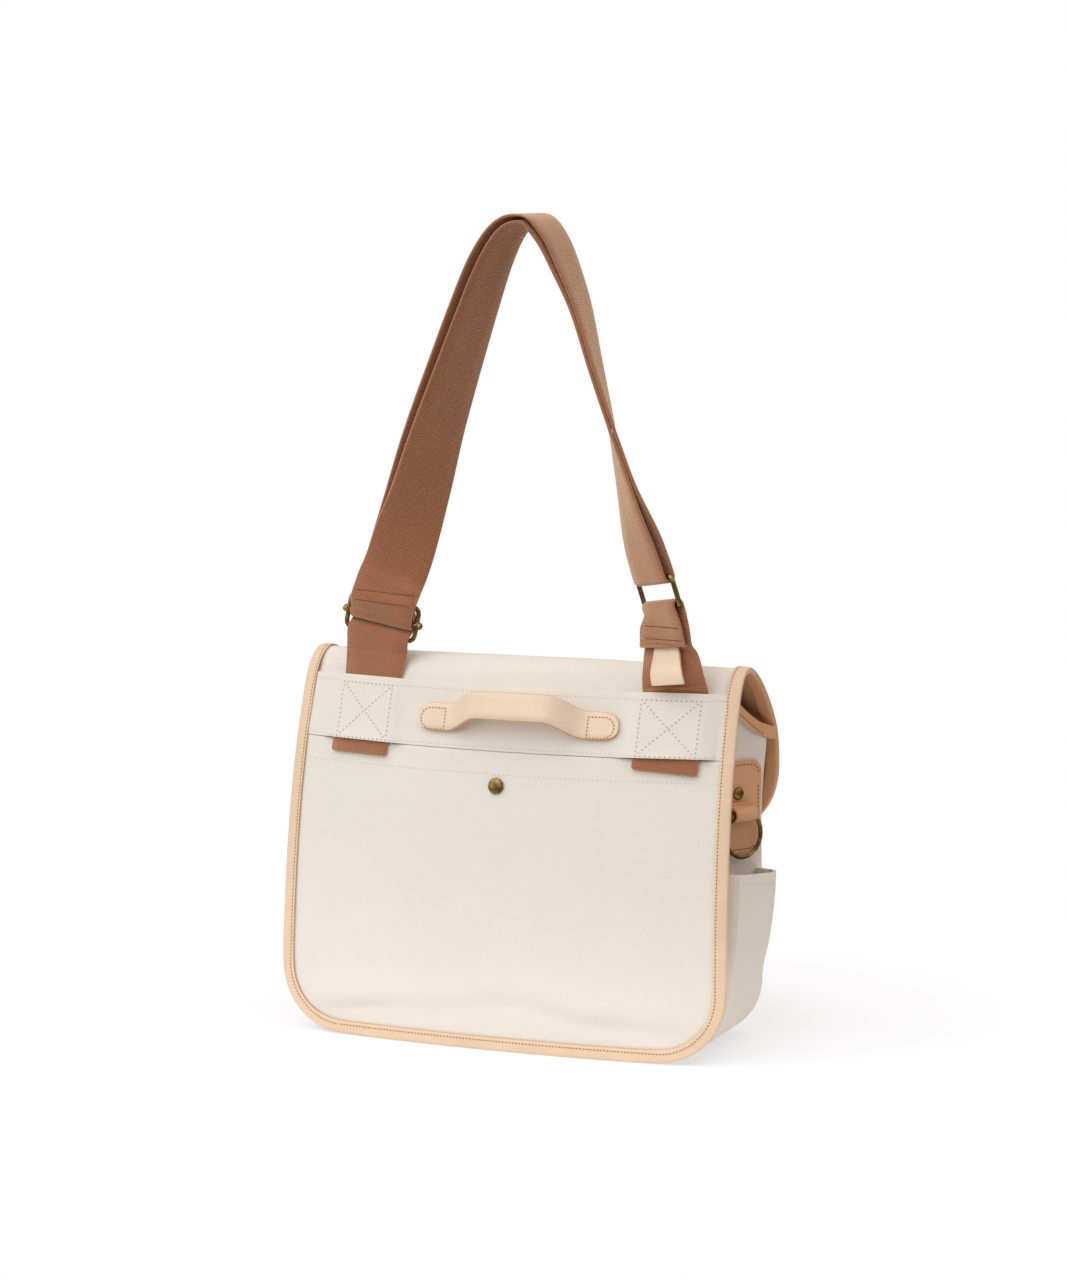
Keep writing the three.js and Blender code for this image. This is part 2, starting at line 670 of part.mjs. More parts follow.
// Inner face of a side pocket: a flat seam at each edge, then boxed out to its open rim
function pocketGrid(side) {
  const { foot, rimBack, rimFront, swell, fullHeight, from, to, seam, boxed, seat } = sidePocket;
  const edge = [0, seam, 0.06, boxed, 0.27];
  const columns = [...edge, 0.5, ...edge.map((w) => 1 - w).reverse()];
  const heights = [0, 0.05, 0.11, 0.18, 0.27, 0.43, 0.62, 0.82, 1];
  return heights.map((share) => columns.map((w) => {
    const z = lerp(foot, lerp(rimBack, rimFront, w), share);
    const rear = gussetSide(side, z, from).addScaledVector(sideNormal(side, z, from), seat);
    const fore = gussetSide(side, z, to).addScaledVector(sideNormal(side, z, to), seat);
    const box = smoothstep(Math.min(w, 1 - w), seam, boxed);
    const out = swell * box * smoothstep(z, foot, fullHeight);
    return rear.lerp(fore, w).add(new Vector3(side * out, 0, 0));
  }));
}

function patchGrid(side, lift) {
  const { bottom, top, middle, halfSpan, halfWidth, cornerRadius } = patch;
  const rounding = [0, 0.13, 0.5, 1].map((share) => cornerRadius * share);
  const heights = [
    ...rounding.map((rise) => bottom + rise),
    (bottom + top) / 2,
    ...rounding.map((rise) => top - rise).reverse(),
  ];
  return heights.map((z) => spread(-1, 1, 8).map((share) => {
    const inward = Math.max(cornerRadius - Math.min(z - bottom, top - z), 0);
    const lost = cornerRadius - Math.sqrt(cornerRadius ** 2 - inward ** 2);
    const span = halfSpan * (1 - lost / halfWidth);
    const v = middle + share * span;
    return gussetSide(side, z, v).addScaledVector(sideNormal(side, z, v), lift);
  }));
}

for (const [side, word] of [[1, 'right'], [-1, 'left']]) {
  const pocketFace = pocketGrid(side);
  const pocketOuter = offsetGrid(pocketFace, -side * sidePocket.wall);
  add(`side_pocket_${word}`, 'canvas', wall(pocketOuter, pocketFace));
  add(`side_patch_${word}`, 'leather', wall(
    patchGrid(side, patch.lift + patch.thickness),
    patchGrid(side, patch.lift),
  ));

  // Axes at the patch: outward and level, forward along it, and up
  const outward = sideNormal(side, rivet.height, patch.middle).setZ(0).normalize();
  const forward = up.clone().cross(outward);
  const spot = (z, lift) => {
    const face = patch.lift + patch.thickness;
    const point = gussetSide(side, rivet.height, patch.middle).addScaledVector(outward, face + lift);
    return point.setZ(z);
  };

  // Keeper: a strip folded round a tunnel for the ring, its two layers sewn to the patch under the rivet
  const loopRadius = keeper.tunnel + keeper.leather;
  const tail = 2 * keeper.leather;
  const ringAtEdge = Math.sqrt(ring.radius ** 2 - (keeper.width / 2) ** 2);
  const tunnelHeight = ring.centreHeight + (ring.radius + ringAtEdge) / 2;
  const shoulder = Math.acos((loopRadius - tail) / loopRadius);
  const profile = new THREE.Shape();
  profile.moveTo(0, 0);
  profile.lineTo(0, keeper.top - tunnelHeight);
  profile.lineTo(tail, keeper.top - tunnelHeight);
  profile.lineTo(tail, loopRadius * Math.sin(shoulder));
  profile.absarc(loopRadius, 0, loopRadius, Math.PI - shoulder, -Math.PI, true);
  profile.holes.push(new THREE.Path().absarc(loopRadius, 0, keeper.tunnel, 0, 2 * Math.PI));
  const keeperBody = new THREE.ExtrudeGeometry(profile, {
    depth: keeper.width, bevelEnabled: false, curveSegments: 8,
  }).translate(0, 0, -keeper.width / 2);
  const sideways = outward.clone().cross(up);
  add(`ring_keeper_${word}`, 'leather', keeperBody, new Matrix4()
    .makeBasis(outward, up, sideways)
    .setPosition(spot(tunnelHeight, keeper.seat)));

  add(`side_rivet_${word}`, 'brass', domedCap(rivet.radius, rivet.dome), new Matrix4()
    .makeBasis(up, outward, forward)
    .setPosition(spot(rivet.height, rivet.seat)));

  add(`side_ring_${word}`, 'brass', new THREE.TorusGeometry(ring.radius, ring.wire, 7, 24), new Matrix4()
    .makeBasis(forward, up, outward)
    .setPosition(spot(ring.centreHeight, keeper.seat + loopRadius)));
}

// The strap's middle line, starting where the left anchor leaves the band
const planDirection = (degrees) => new Vector3(Math.cos(degToRad(degrees)), Math.sin(degToRad(degrees)), 0);

function strapLine(rows) {
  const curve = new THREE.CatmullRomCurve3(rows.map(({ x, y, z }) => new Vector3(x, y, z)));
  curve.arcLengthDivisions = 800;
  const length = curve.getLength();
  return {
    length,
    // Point, travel direction, width direction and outer normal at a distance along the line
    frame(distance) {
      const share = clamp(distance / length, 0, 1);
      const spot = curve.getUtoTmapping(share) * (rows.length - 1);
      const before = Math.min(Math.floor(spot), rows.length - 2);
      const turn = lerp(rows[before].turn, rows[before + 1].turn, spot - before);
      const travel = curve.getTangentAt(share);
      const across = planDirection(turn);
      across.addScaledVector(travel, -across.dot(travel)).normalize();
      const outer = across.clone().cross(travel);
      return { at: curve.getPointAt(share), travel, across, outer };
    },
    // Distance of the line's closest approach to one of its rows
    distanceTo(index) {
      const lengths = curve.getLengths();
      return lengths[Math.round(index / (rows.length - 1) * (lengths.length - 1))];
    },
  };
}

// A stop of a webbing strip, lifted off the line towards its outer side
function layerStop(line, distance, lift, ahead = 0) {
  const { at, travel, across, outer } = line.frame(distance);
  return {
    at: at.addScaledVector(outer, lift).addScaledVector(travel, ahead),
    across,
    half: webbing.width / 2,
  };
}

// Width direction of an anchor, along the round of the back
function anchorAcross(side, distance) {
  const x = anchorX(side, distance);
  return sheetPoint(distance, x + side).sub(sheetPoint(distance, x - side)).normalize();
}

// The sewn stretch of an anchor, from its tail up to the head of the band
function anchorStops(side) {
  const dropped = bandFoot + anchors.drop;
  const stops = [
    ...spread(bandFoot - anchors.tail, bandFoot, 2),
    ...spread(bandFoot, dropped, 3).slice(1),
    ...spread(dropped, bandHead, 3).slice(1),
  ];
  return stops.map((distance) => ({
    at: sheetPoint(distance, anchorX(side, distance), anchorLift(distance)),
    across: anchorAcross(side, distance),
    half: webbing.width / 2,
  }));
}

// The row of a strap line at which an anchor leaves the band
function anchorHead(side) {
  const { at, across } = anchorStops(side).at(-1);
  const wholeTurn = side > 0 ? 360 : 0;
  return { x: at.x, y: at.y, z: at.z, turn: wholeTurn + radToDeg(Math.atan2(across.y, across.x)) };
}

const strap = strapLine([anchorHead(-1), ...strapRows]);
const sliderPlace = strap.distanceTo(2);
const barWrap = slider.wire + wirePlay + webbing.thickness / 2;
const bars = slider.halfHeight;
const ringWrap = strapRing.wire + wirePlay + webbing.thickness / 2;
// How far along the strap the slider bends its layers
const sliderReach = { below: 26, outer: 24, lastStop: 34, inner: 40 };

// Lift of each layer near the slider, against distance from its centre bar
const overBar = barWrap + webbing.thickness + gap;
const outerNearSlider = [
  [-sliderReach.below, 0], [-bars, -barWrap], [-2.5, overBar], [1.5, overBar], [bars, -barWrap],
  [bars + 11, -gap], [bars + sliderReach.outer, layerSpacing / 2],
];
const innerNearSlider = [
  [1.5, -barWrap], [6.5, -barWrap - 3.2], [bars, -barWrap - 6.6], [bars + 11, -6.6],
  [bars + sliderReach.outer, -layerSpacing * 0.75], [bars + sliderReach.inner, -layerSpacing / 2],
];
const endNearSlider = [[0, barWrap], [3.2, 1], [6.5, -3], [bars, -barWrap - 3.2], [bars + 11, -3.3]];
const endStops = [1.7, 3.2, 4.8, 6.5, 8.5, 10.7, 13, 17, 21, 24];

// The two layers stand apart on the way up, lie together on the way down and open round the ring
const apart = { rising: 4, top: 3, ring: 4 };
const doubled = sliderPlace + bars + sliderReach.inner;
const topRow = strapRows.reduce((best, { z }, i) => (z > strapRows[best].z ? i : best), 0);
const topPlace = strap.distanceTo(topRow + 1);
const layerLifts = [
  [doubled, layerSpacing / 2], [doubled + 60, apart.rising], [topPlace - 60, apart.rising],
  [topPlace, apart.top], [topPlace + 100, layerSpacing / 2], [strap.length - 75, layerSpacing / 2],
  [strap.length - 28, apart.ring], [strap.length - 12, apart.ring], [strap.length, ringWrap],
];

const nearSlider = spread(-sliderReach.below, bars + sliderReach.lastStop, 32);
const strapSpans = spread(doubled, strap.length, 40);
const halfTurn = spread(0, 180, 8).slice(1, -1);
const strapStops = [
  ...anchorStops(-1),
  ...nearSlider.filter((offset) => sliderPlace + offset > 6)
    .map((offset) => layerStop(strap, sliderPlace + offset, along(outerNearSlider, offset))),
  ...strapSpans.map((distance) => layerStop(strap, distance, along(layerLifts, distance))),
  ...halfTurn.map((angle) => layerStop(
    strap,
    strap.length,
    ringWrap * Math.cos(degToRad(angle)),
    ringWrap * Math.sin(degToRad(angle)),
  )),
  ...comingBack(strapSpans.toReversed()
    .map((distance) => layerStop(strap, distance, -along(layerLifts, distance)))),
  ...comingBack(spread(bars + sliderReach.lastStop, 1.5, 14)
    .map((offset) => layerStop(strap, sliderPlace + offset, along(innerNearSlider, offset)))),
  ...halfTurn.map((angle) => layerStop(
    strap,
    sliderPlace,
    -barWrap * Math.cos(degToRad(angle)),
    -barWrap * Math.sin(degToRad(angle)),
  )),
  ...endStops.map((offset) => layerStop(strap, sliderPlace + offset, along(endNearSlider, offset))),
];
add('strap_webbing', 'webbing', strip(strapStops, webbing.thickness));

// Slider: a wire frame with its centre bar through both sides
const atSlider = strap.frame(sliderPlace);
const sliderFrame = wireLoop(
  roundedLoop(atSlider.at, atSlider.across, atSlider.travel, slider.halfWidth, bars, slider.corner),
  atSlider.outer,
  slider.wire,
);
const barProfile = [
  [0, 0], [slider.knob * 0.7, 0], [slider.knob, slider.knobLength / 3],
  [slider.knob, slider.knobLength], [slider.wire, slider.knobLength * 1.2],
].map(([radius, height]) => new Vector2(radius, height - slider.knobReach));
const barMirror = barProfile.toReversed().map(({ x, y }) => new Vector2(x, -y));
const sliderBar = new THREE.LatheGeometry([...barProfile, ...barMirror], 8).applyMatrix4(new Matrix4()
  .makeBasis(atSlider.travel, atSlider.across, atSlider.travel.clone().cross(atSlider.across))
  .setPosition(atSlider.at));
add('strap_slider', 'brass', fromManifold(toManifold(sliderFrame).add(toManifold(sliderBar))));

// Rectangular ring that hangs the strap on the right anchor
const atRing = strap.frame(strap.length);
const ringMiddle = atRing.at.clone().addScaledVector(atRing.travel, strapRing.height / 2);
add('strap_ring', 'brass', wireLoop(
  roundedLoop(
    ringMiddle, atRing.across, atRing.travel, strapRing.halfWidth, strapRing.height / 2, strapRing.corner,
  ),
  atRing.outer,
  strapRing.wire,
));

// Right anchor: up from the band, over the ring's lower bar towards the back's viewer, and down again
const lowerBar = atRing.at.clone().addScaledVector(atRing.travel, strapRing.height);
// A row of the anchor's line, straight on from the ring at a distance past its lower bar
function ringRow(past) {
  const { x, y, z } = lowerBar.clone().addScaledVector(atRing.travel, past);
  return { x, y, z, turn: strapRows.at(-1).turn };
}

const anchorLine = strapLine([
  ringRow(-5),
  ringRow(0),
  ringRow(6),
  { x: 118.8, y: 30, z: 303, turn: 329 },
  { x: 124.6, y: 25.5, z: 284, turn: 350 },
  anchorHead(1),
]);
const lowerBarPlace = anchorLine.distanceTo(1);
const turned = { length: 30, layerLift: 2.95, barReach: 14 };
const risingLift = [
  [0, ringWrap], [turned.barReach, turned.layerLift], [turned.length, turned.layerLift],
  [2 * turned.length, 0],
];
const turnedLift = [[0, -ringWrap], [turned.barReach, -turned.layerLift]];
const risingEnd = anchorLine.length - lowerBarPlace;
const rightStops = [
  ...anchorStops(1),
  ...comingBack(spread(risingEnd - 6, 0, 12)
    .map((offset) => layerStop(anchorLine, lowerBarPlace + offset, along(risingLift, offset)))),
  ...halfTurn.map((angle) => layerStop(
    anchorLine,
    lowerBarPlace,
    ringWrap * Math.cos(degToRad(angle)),
    -ringWrap * Math.sin(degToRad(angle)),
  )),
  ...spread(0, turned.length, 10)
    .map((offset) => layerStop(anchorLine, lowerBarPlace + offset, along(turnedLift, offset))),
];
add('right_anchor_webbing', 'webbing', strip(rightStops, webbing.thickness));

// Leather tab sewn between the fold's two layers, its free end curling outwards
const tab = { thickness: 2.2, topHalf: 10.5, endHalf: 12.5, top: 18, end: 53, curl: 11 };
const tabLift = [[turned.length, 0], [tab.end, -tab.curl]];
add('pull_tab', 'leather', strip(spread(tab.top, tab.end, 12).map((offset) => ({
  ...layerStop(anchorLine, lowerBarPlace + offset, along(tabLift, offset)),
  half: lerp(tab.topHalf, tab.endHalf, (offset - tab.top) / (tab.end - tab.top)),
})), tab.thickness));

// The origin is under the middle of the bag's box, on the surface that it stands on
const box = new THREE.Box3().setFromObject(bag, true);
const middle = box.getCenter(new Vector3());
bag.position.set(-middle.x, -middle.y, -box.min.z);

export default bag;
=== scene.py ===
# Flap shoulder bag seen from its back: canvas, natural leather, brown webbing, antique brass
import math
import bmesh
import bpy
from mathutils import Matrix, Vector, noise
from mathutils.bvhtree import BVHTree


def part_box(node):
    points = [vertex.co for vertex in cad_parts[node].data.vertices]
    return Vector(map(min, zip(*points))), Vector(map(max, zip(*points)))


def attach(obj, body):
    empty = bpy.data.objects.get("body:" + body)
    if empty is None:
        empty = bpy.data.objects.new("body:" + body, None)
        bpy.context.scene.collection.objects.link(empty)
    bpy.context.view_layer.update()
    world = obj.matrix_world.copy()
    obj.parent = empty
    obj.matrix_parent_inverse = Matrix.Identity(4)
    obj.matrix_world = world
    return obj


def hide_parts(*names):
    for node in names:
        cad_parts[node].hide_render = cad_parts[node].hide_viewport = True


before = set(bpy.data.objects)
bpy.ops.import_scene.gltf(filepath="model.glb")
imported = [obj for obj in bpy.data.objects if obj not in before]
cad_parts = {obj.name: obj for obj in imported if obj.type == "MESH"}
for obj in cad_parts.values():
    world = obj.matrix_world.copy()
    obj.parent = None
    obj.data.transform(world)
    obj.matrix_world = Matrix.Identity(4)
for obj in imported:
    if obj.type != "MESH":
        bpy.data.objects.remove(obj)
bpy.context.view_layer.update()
mm = 0.001
scene = bpy.context.scene
print("frame loaded:", len(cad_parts), "nodes")


# Shader maths: a socket that takes plain operators
class Wire:
    def __init__(self, tree, socket=None):
        self.tree = tree
        self.socket = socket

    # any node: its type, its settings, then values or links for its sockets
    def node(self, kind, settings=None, inputs=None, out=0):
        made = self.tree.nodes.new(kind)
        for name, value in (settings or {}).items():
            setattr(made, name, value)
        for name, value in (inputs or {}).items():
            if isinstance(value, Wire):
                self.tree.links.new(value.socket, made.inputs[name])
            else:
                made.inputs[name].default_value = value
        return Wire(self.tree, made.outputs[out])

    def math(self, operation, *values):
        return self.node("ShaderNodeMath", {"operation": operation}, dict(enumerate(values)))

    def __add__(self, other):
        return self.math("ADD", self, other)

    def __radd__(self, other):
        return self.math("ADD", other, self)

    def __sub__(self, other):
        return self.math("SUBTRACT", self, other)

    def __rsub__(self, other):
        return self.math("SUBTRACT", other, self)

    def __mul__(self, other):
        return self.math("MULTIPLY", self, other)

    def __truediv__(self, other):
        return self.math("DIVIDE", self, other)

    def __abs__(self):
        return self.math("ABSOLUTE", self)

    def sine(self):
        return self.math("SINE", self)

    def floor(self):
        return self.math("FLOOR", self)

    def odd(self):  # 1 on odd whole numbers, 0 on even ones
        return self.math("FLOORED_MODULO", self, 2.0)

    # smooth step from 0 to 1
    def step(self, low, high):
        settings = {"interpolation_type": "SMOOTHSTEP"}
        return self.node("ShaderNodeMapRange", settings, {"Value": self, 1: low, 2: high})

    def mix(self, low, high):  # two colours by this value
        inputs = {"Factor": self, 6: low, 7: high}
        return self.node("ShaderNodeMix", {"data_type": "RGBA", "clamp_factor": True}, inputs, 2)


def rgb(red, green, blue):  # a screen colour, 0 to 255, in linear light
    def linear(value):
        share = value / 255
        return share / 12.92 if share <= 0.04045 else ((share + 0.055) / 1.055) ** 2.4
    return (linear(red), linear(green), linear(blue), 1.0)


def shade(colour, factor):
    return (colour[0] * factor, colour[1] * factor, colour[2] * factor, 1.0)


# A tint between its dark and its light end, by a tone
def tinted(tone, tint, ends):
    return tone.mix(shade(tint, ends[0]), shade(tint, ends[1]))


def newLook(name):
    look = bpy.data.materials.new(name)
    look.use_nodes = True
    return look, Wire(look.node_tree)


def placeOn(maker):  # coordinates on the piece
    return maker.node("ShaderNodeTexCoord", out="Object")


def clothOn(maker):  # coordinates along its cloth
    return maker.node("ShaderNodeTexCoord", out="UV")


def threads(maker, cloth, axis, pitch):  # cloth coordinates counted in threads
    return maker.node("ShaderNodeSeparateXYZ", None, {0: cloth}, axis) / pitch


def finishLook(look, maker, colour, roughness, height=None, bump=None, fixed=None):
    shader = look.node_tree.nodes["Principled BSDF"]
    links = {"Base Color": colour, "Roughness": roughness}
    if height is not None:
        inputs = {"Strength": bump[0], "Distance": bump[1], "Height": height}
        links["Normal"] = maker.node("ShaderNodeBump", None, inputs)
    for name, value in links.items():
        if isinstance(value, Wire):
            look.node_tree.links.new(value.socket, shader.inputs[name])
        else:
            shader.inputs[name].default_value = value
    for name, value in (fixed or {}).items():
        shader.inputs[name].default_value = value
    return look


def noiseAt(maker, vector, scale, detail=2.0, rough=0.5, stretch=None):
    if stretch:
        vector = maker.node("ShaderNodeMapping", None, {"Vector": vector, "Scale": stretch})
    inputs = {"Vector": vector, "Scale": scale, "Detail": detail, "Roughness": rough}
    return maker.node("ShaderNodeTexNoise", None, inputs)


canvasSet = {
    "tint": rgb(229, 219, 206),
    "ends": (0.9, 1.05),             # darkest and palest, as shares of the tint
    "pitch": 0.75 * mm,              # from thread to thread
    "slubRates": (70.0, 1500.0),     # thick threads: changes to a metre along and across them
    "cloudRate": 9.0,
    "softRate": 38.0,
    "tone": {"slubs": 0.42, "cloud": 0.5, "weave": 0.16, "middle": 0.42},
    "height": {"weave": 0.6, "slubs": 1.1, "soft": 1.6},
    "rough": (0.86, 0.08),           # its middle, and how far it varies
    "bump": (0.32, 0.35 * mm),
    "fixed": {"Specular IOR Level": 0.2},
}


def canvasLook(name):
    use = canvasSet
    look, maker = newLook(name)
    place = placeOn(maker)
    cloth = clothOn(maker)
    across = threads(maker, cloth, "X", use["pitch"])
    along = threads(maker, cloth, "Y", use["pitch"])
    over = (across.floor() + along.floor()).odd()
    warp = abs((across * math.pi).sine())
    weft = abs((along * math.pi).sine())
    weave = over * warp + (1 - over) * weft
    slow, quick = use["slubRates"]
    slubAcross = noiseAt(maker, cloth, 1.0, detail=3.0, rough=0.6, stretch=(slow, quick, 1.0))
    slubAlong = noiseAt(maker, cloth, 1.0, detail=3.0, rough=0.6, stretch=(quick, slow, 1.0))
    slubs = slubAcross + slubAlong - 1.0
    cloud = noiseAt(maker, place, use["cloudRate"], detail=3.0)
    share = use["tone"]
    # the weave term darkens the cloth between threads: painted shade; slubs and cloud are the cloth's own
    # tone
    tone = slubs * share["slubs"] + (cloud - 0.5) * share["cloud"] + weave * share["weave"] + share["middle"]
    soft = noiseAt(maker, place, use["softRate"])
    lift = use["height"]
    height = weave * lift["weave"] + slubs * lift["slubs"] + soft * lift["soft"]
    middle, vary = use["rough"]
    rough = middle + (cloud - 0.5) * vary
    colour = tinted(tone, use["tint"], use["ends"])
    return finishLook(look, maker, colour, rough, height, use["bump"], use["fixed"])


leatherSet = {
    "tint": rgb(231, 203, 176),
    "tan": rgb(216, 161, 118),
    "binding": rgb(226, 194, 163),
    "edge": rgb(214, 160, 114),
    "ends": (0.9, 1.05),
    "grain": 1350.0,                 # grain cells to a metre
    "grainSoft": 0.6,
    "cloudRate": 26.0,
    "fineRate": 900.0,
    "streakRates": (60.0, 60.0, 240.0),
    "tone": {"middle": 0.5, "cloud": 1.3, "streak": 0.5, "fine": 0.25},
    "height": {"cells": 0.5, "fine": 0.5},
    "rough": 0.5,
    "edgeRough": 0.42,
    "roughVary": 0.16,
    "bump": (0.16, 0.2 * mm),
    "fixed": {"Specular IOR Level": 0.38},
}


def leatherLook(name, tint, rough=leatherSet["rough"]):
    use = leatherSet
    look, maker = newLook(name)
    place = placeOn(maker)
    cells = maker.node("ShaderNodeTexVoronoi", {"feature": "SMOOTH_F1"}, {
        "Vector": place, "Scale": use["grain"], "Smoothness": use["grainSoft"]})
    cloud = noiseAt(maker, place, use["cloudRate"], detail=4.0, rough=0.55)
    fine = noiseAt(maker, place, use["fineRate"])
    streak = noiseAt(maker, place, 1.0, detail=3.0, rough=0.6, stretch=use["streakRates"])
    share = use["tone"]
    tone = share["middle"] + (cloud - 0.5) * share["cloud"]
    tone = tone + (streak - 0.5) * share["streak"] + (fine - 0.5) * share["fine"]
    height = cells * use["height"]["cells"] + fine * use["height"]["fine"]
    gloss = rough + (cloud - 0.5) * use["roughVary"]
    colour = tinted(tone, tint, use["ends"])
    return finishLook(look, maker, colour, gloss, height, use["bump"], use["fixed"])


webbingSet = {
    "tint": rgb(168, 99, 64),
    # the colour down in the weave's grooves: painted shade
    "groove": rgb(102, 56, 35),
    "cord": 1.9 * mm,                # across, from cord to cord
    "rib": 1.6 * mm,                 # along, from rib to rib
    "cordShare": 0.45,
    "ribShare": 0.55,
    "fuzzRate": 900.0,
    "cloudRate": 30.0,
    "raisedStep": (0.1, 0.9),
    "tone": {"raised": 0.75, "fuzz": 0.2, "cloud": 0.2, "base": 0.18},
    "fuzzHeight": 0.25,
    "rough": (0.82, 0.1),
    "bump": (0.6, 0.4 * mm),
    "fixed": {"Specular IOR Level": 0.22, "Sheen Weight": 1.0, "Sheen Roughness": 0.6,
              "Sheen Tint": (1.0, 0.74, 0.5, 1.0)},
}


def webbingLook(name):
    use = webbingSet
    look, maker = newLook(name)
    place = placeOn(maker)
    cloth = clothOn(maker)
    cord = abs((threads(maker, cloth, "X", use["cord"]) * math.pi).sine())
    rib = abs((threads(maker, cloth, "Y", use["rib"]) * math.pi).sine())
    raised = rib * use["ribShare"] + cord * use["cordShare"]
    fuzz = noiseAt(maker, place, use["fuzzRate"], detail=3.0, rough=0.6)
    cloud = noiseAt(maker, place, use["cloudRate"], detail=3.0)
    share = use["tone"]
    tone = raised.step(*use["raisedStep"]) * share["raised"]
    tone = tone + (fuzz - 0.5) * share["fuzz"] + (cloud - 0.5) * share["cloud"] + share["base"]
    # darker where the weave lies low: painted shade in its grooves; fuzz and cloud are the webbing's own
    # tone
    colour = tone.mix(use["groove"], use["tint"])
    height = raised + fuzz * use["fuzzHeight"]
    middle, vary = use["rough"]
    rough = middle + (fuzz - 0.5) * vary
    return finishLook(look, maker, colour, rough, height, use["bump"], use["fixed"])


brassSet = {
    "bright": rgb(172, 140, 80),
    "dark": rgb(74, 54, 26),
    "patinaRate": 130.0,
    "patinaStep": (0.3, 0.72),
    "fineRate": 1400.0,
    "tone": {"patina": 0.75, "fine": 0.4, "base": 0.12},
    "rough": (0.46, 0.18),           # where it is dark, and how much less where it is bright
    "bump": (0.06, 0.2 * mm),
    "fixed": {"Metallic": 1.0},
}


def brassLook(name):
    use = brassSet
    look, maker = newLook(name)
    place = placeOn(maker)
    patina = noiseAt(maker, place, use["patinaRate"], detail=4.0, rough=0.6)
    fine = noiseAt(maker, place, use["fineRate"])
    share = use["tone"]
    tone = patina.step(*use["patinaStep"]) * share["patina"] + (fine - 0.5) * share["fine"] + share["base"]
    colour = tone.mix(use["dark"], use["bright"])
    dull, less = use["rough"]
    return finishLook(look, maker, colour, dull - tone * less, fine, use["bump"], use["fixed"])


threadSet = {
    "ends": (0.8, 1.15),
    "twistRate": 1600.0,
    "rough": (0.7, 0.2),
    "bump": (0.2, 0.1 * mm),
    # the Hole tints colour flat discs at the needle holes: painted shade
    "tints": {
        "tanThread": rgb(222, 180, 136),
        "tanHoleShade": rgb(158, 98, 52),
        "darkThread": rgb(112, 68, 40),
        "darkHoleShade": rgb(96, 56, 32),
        "paleThread": rgb(228, 221, 210),
        "paleHoleShade": rgb(178, 164, 150),
        "hemHoleShade": rgb(204, 192, 180),
        "ribThread": rgb(122, 72, 48),
        "ribHoleShade": rgb(84, 48, 31),
    },
}


def threadLook(name, tint):
    look, maker = newLook(name)
    twist = noiseAt(maker, placeOn(maker), threadSet["twistRate"])
    middle, vary = threadSet["rough"]
    rough = middle + (twist - 0.5) * vary
    return finishLook(look, maker, tinted(twist, tint, threadSet["ends"]), rough, twist, threadSet["bump"])


looks = {
    "canvas": canvasLook("offWhiteCanvas"),
    "leather": leatherLook("naturalLeather", leatherSet["tint"]),
    "bindingLeather": leatherLook("bindingLeather", leatherSet["binding"]),
    "tanLeather": leatherLook("tanLeather", leatherSet["tan"]),
    "leatherEdge": leatherLook("burnishedLeatherEdge", leatherSet["edge"], leatherSet["edgeRough"]),
    "webbing": webbingLook("brownWebbing"),
    "brass": brassLook("antiqueBrass"),
}
for name, tint in threadSet["tints"].items():
    looks[name] = threadLook(name, tint)
print("materials made:", len(looks))


# Helpers for shaping the pieces
meshSet = {
    "merge": 0.02 * mm,              # CAD corners nearer than this are one
    "flat": math.radians(60),        # triangles that meet flatter than this become a quad
    "corner": math.radians(50),      # edges sharper than this are creased
    "bevelAngle": math.radians(45),
    "bevelSegments": 2,
    "endSegments": 4,                # round a strip's cut corners
    "thin": 3 * mm,                  # narrower than this is a strip's edge, not its face
}


def deselect():
    if bpy.context.mode != "OBJECT":
        bpy.ops.object.mode_set(mode="OBJECT")
    bpy.ops.object.select_all(action="DESELECT")


def activate(piece):
    deselect()
    piece.select_set(True)
    bpy.context.view_layer.objects.active = piece


def applyModifiers(piece):
    activate(piece)
    for modifier in list(piece.modifiers):
        bpy.ops.object.modifier_apply(modifier=modifier.name)


def addBevel(piece, width):
    bevel = piece.modifiers.new("bevel", "BEVEL")
    bevel.width = width
    bevel.segments = meshSet["bevelSegments"]
    bevel.limit_method = "ANGLE"
    bevel.angle_limit = meshSet["bevelAngle"]
    bevel.use_clamp_overlap = False


def addFatten(piece, depth):
    fatten = piece.modifiers.new("fatten", "DISPLACE")
    fatten.strength = depth
    fatten.mid_level = 0.0


def addSubdivision(piece, levels):
    smooth = piece.modifiers.new("subdivision", "SUBSURF")
    smooth.levels = levels
    smooth.render_levels = levels


# A copy of a CAD node, merged and turned back into quads
def copyOf(nodeName, pieceName):
    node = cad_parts[nodeName]
    activate(node)
    bpy.ops.object.duplicate()
    piece = bpy.context.active_object
    piece.name = pieceName
    piece.data.name = pieceName
    piece.parent = None
    for key in list(piece.keys()):
        del piece[key]
    piece.data.materials.clear()
    bpy.ops.object.mode_set(mode="EDIT")
    bpy.ops.mesh.select_all(action="SELECT")
    bpy.ops.mesh.customdata_custom_splitnormals_clear()
    bpy.ops.mesh.remove_doubles(threshold=meshSet["merge"])
    bpy.ops.mesh.tris_convert_to_quads(face_threshold=meshSet["flat"], shape_threshold=meshSet["flat"])
    bpy.ops.object.mode_set(mode="OBJECT")
    return piece


# Sharp edges are creased, so that subdivision keeps them, or rounds them where held in part
def creaseCorners(piece, hold=1.0):
    activate(piece)
    bpy.ops.object.mode_set(mode="EDIT")
    bpy.ops.mesh.select_mode(type="EDGE")
    bpy.ops.mesh.select_all(action="DESELECT")
    bpy.ops.mesh.edges_select_sharp(sharpness=meshSet["corner"])
    bpy.ops.transform.edge_crease(value=hold)
    bpy.ops.mesh.select_mode(type="VERT")
    bpy.ops.object.mode_set(mode="OBJECT")


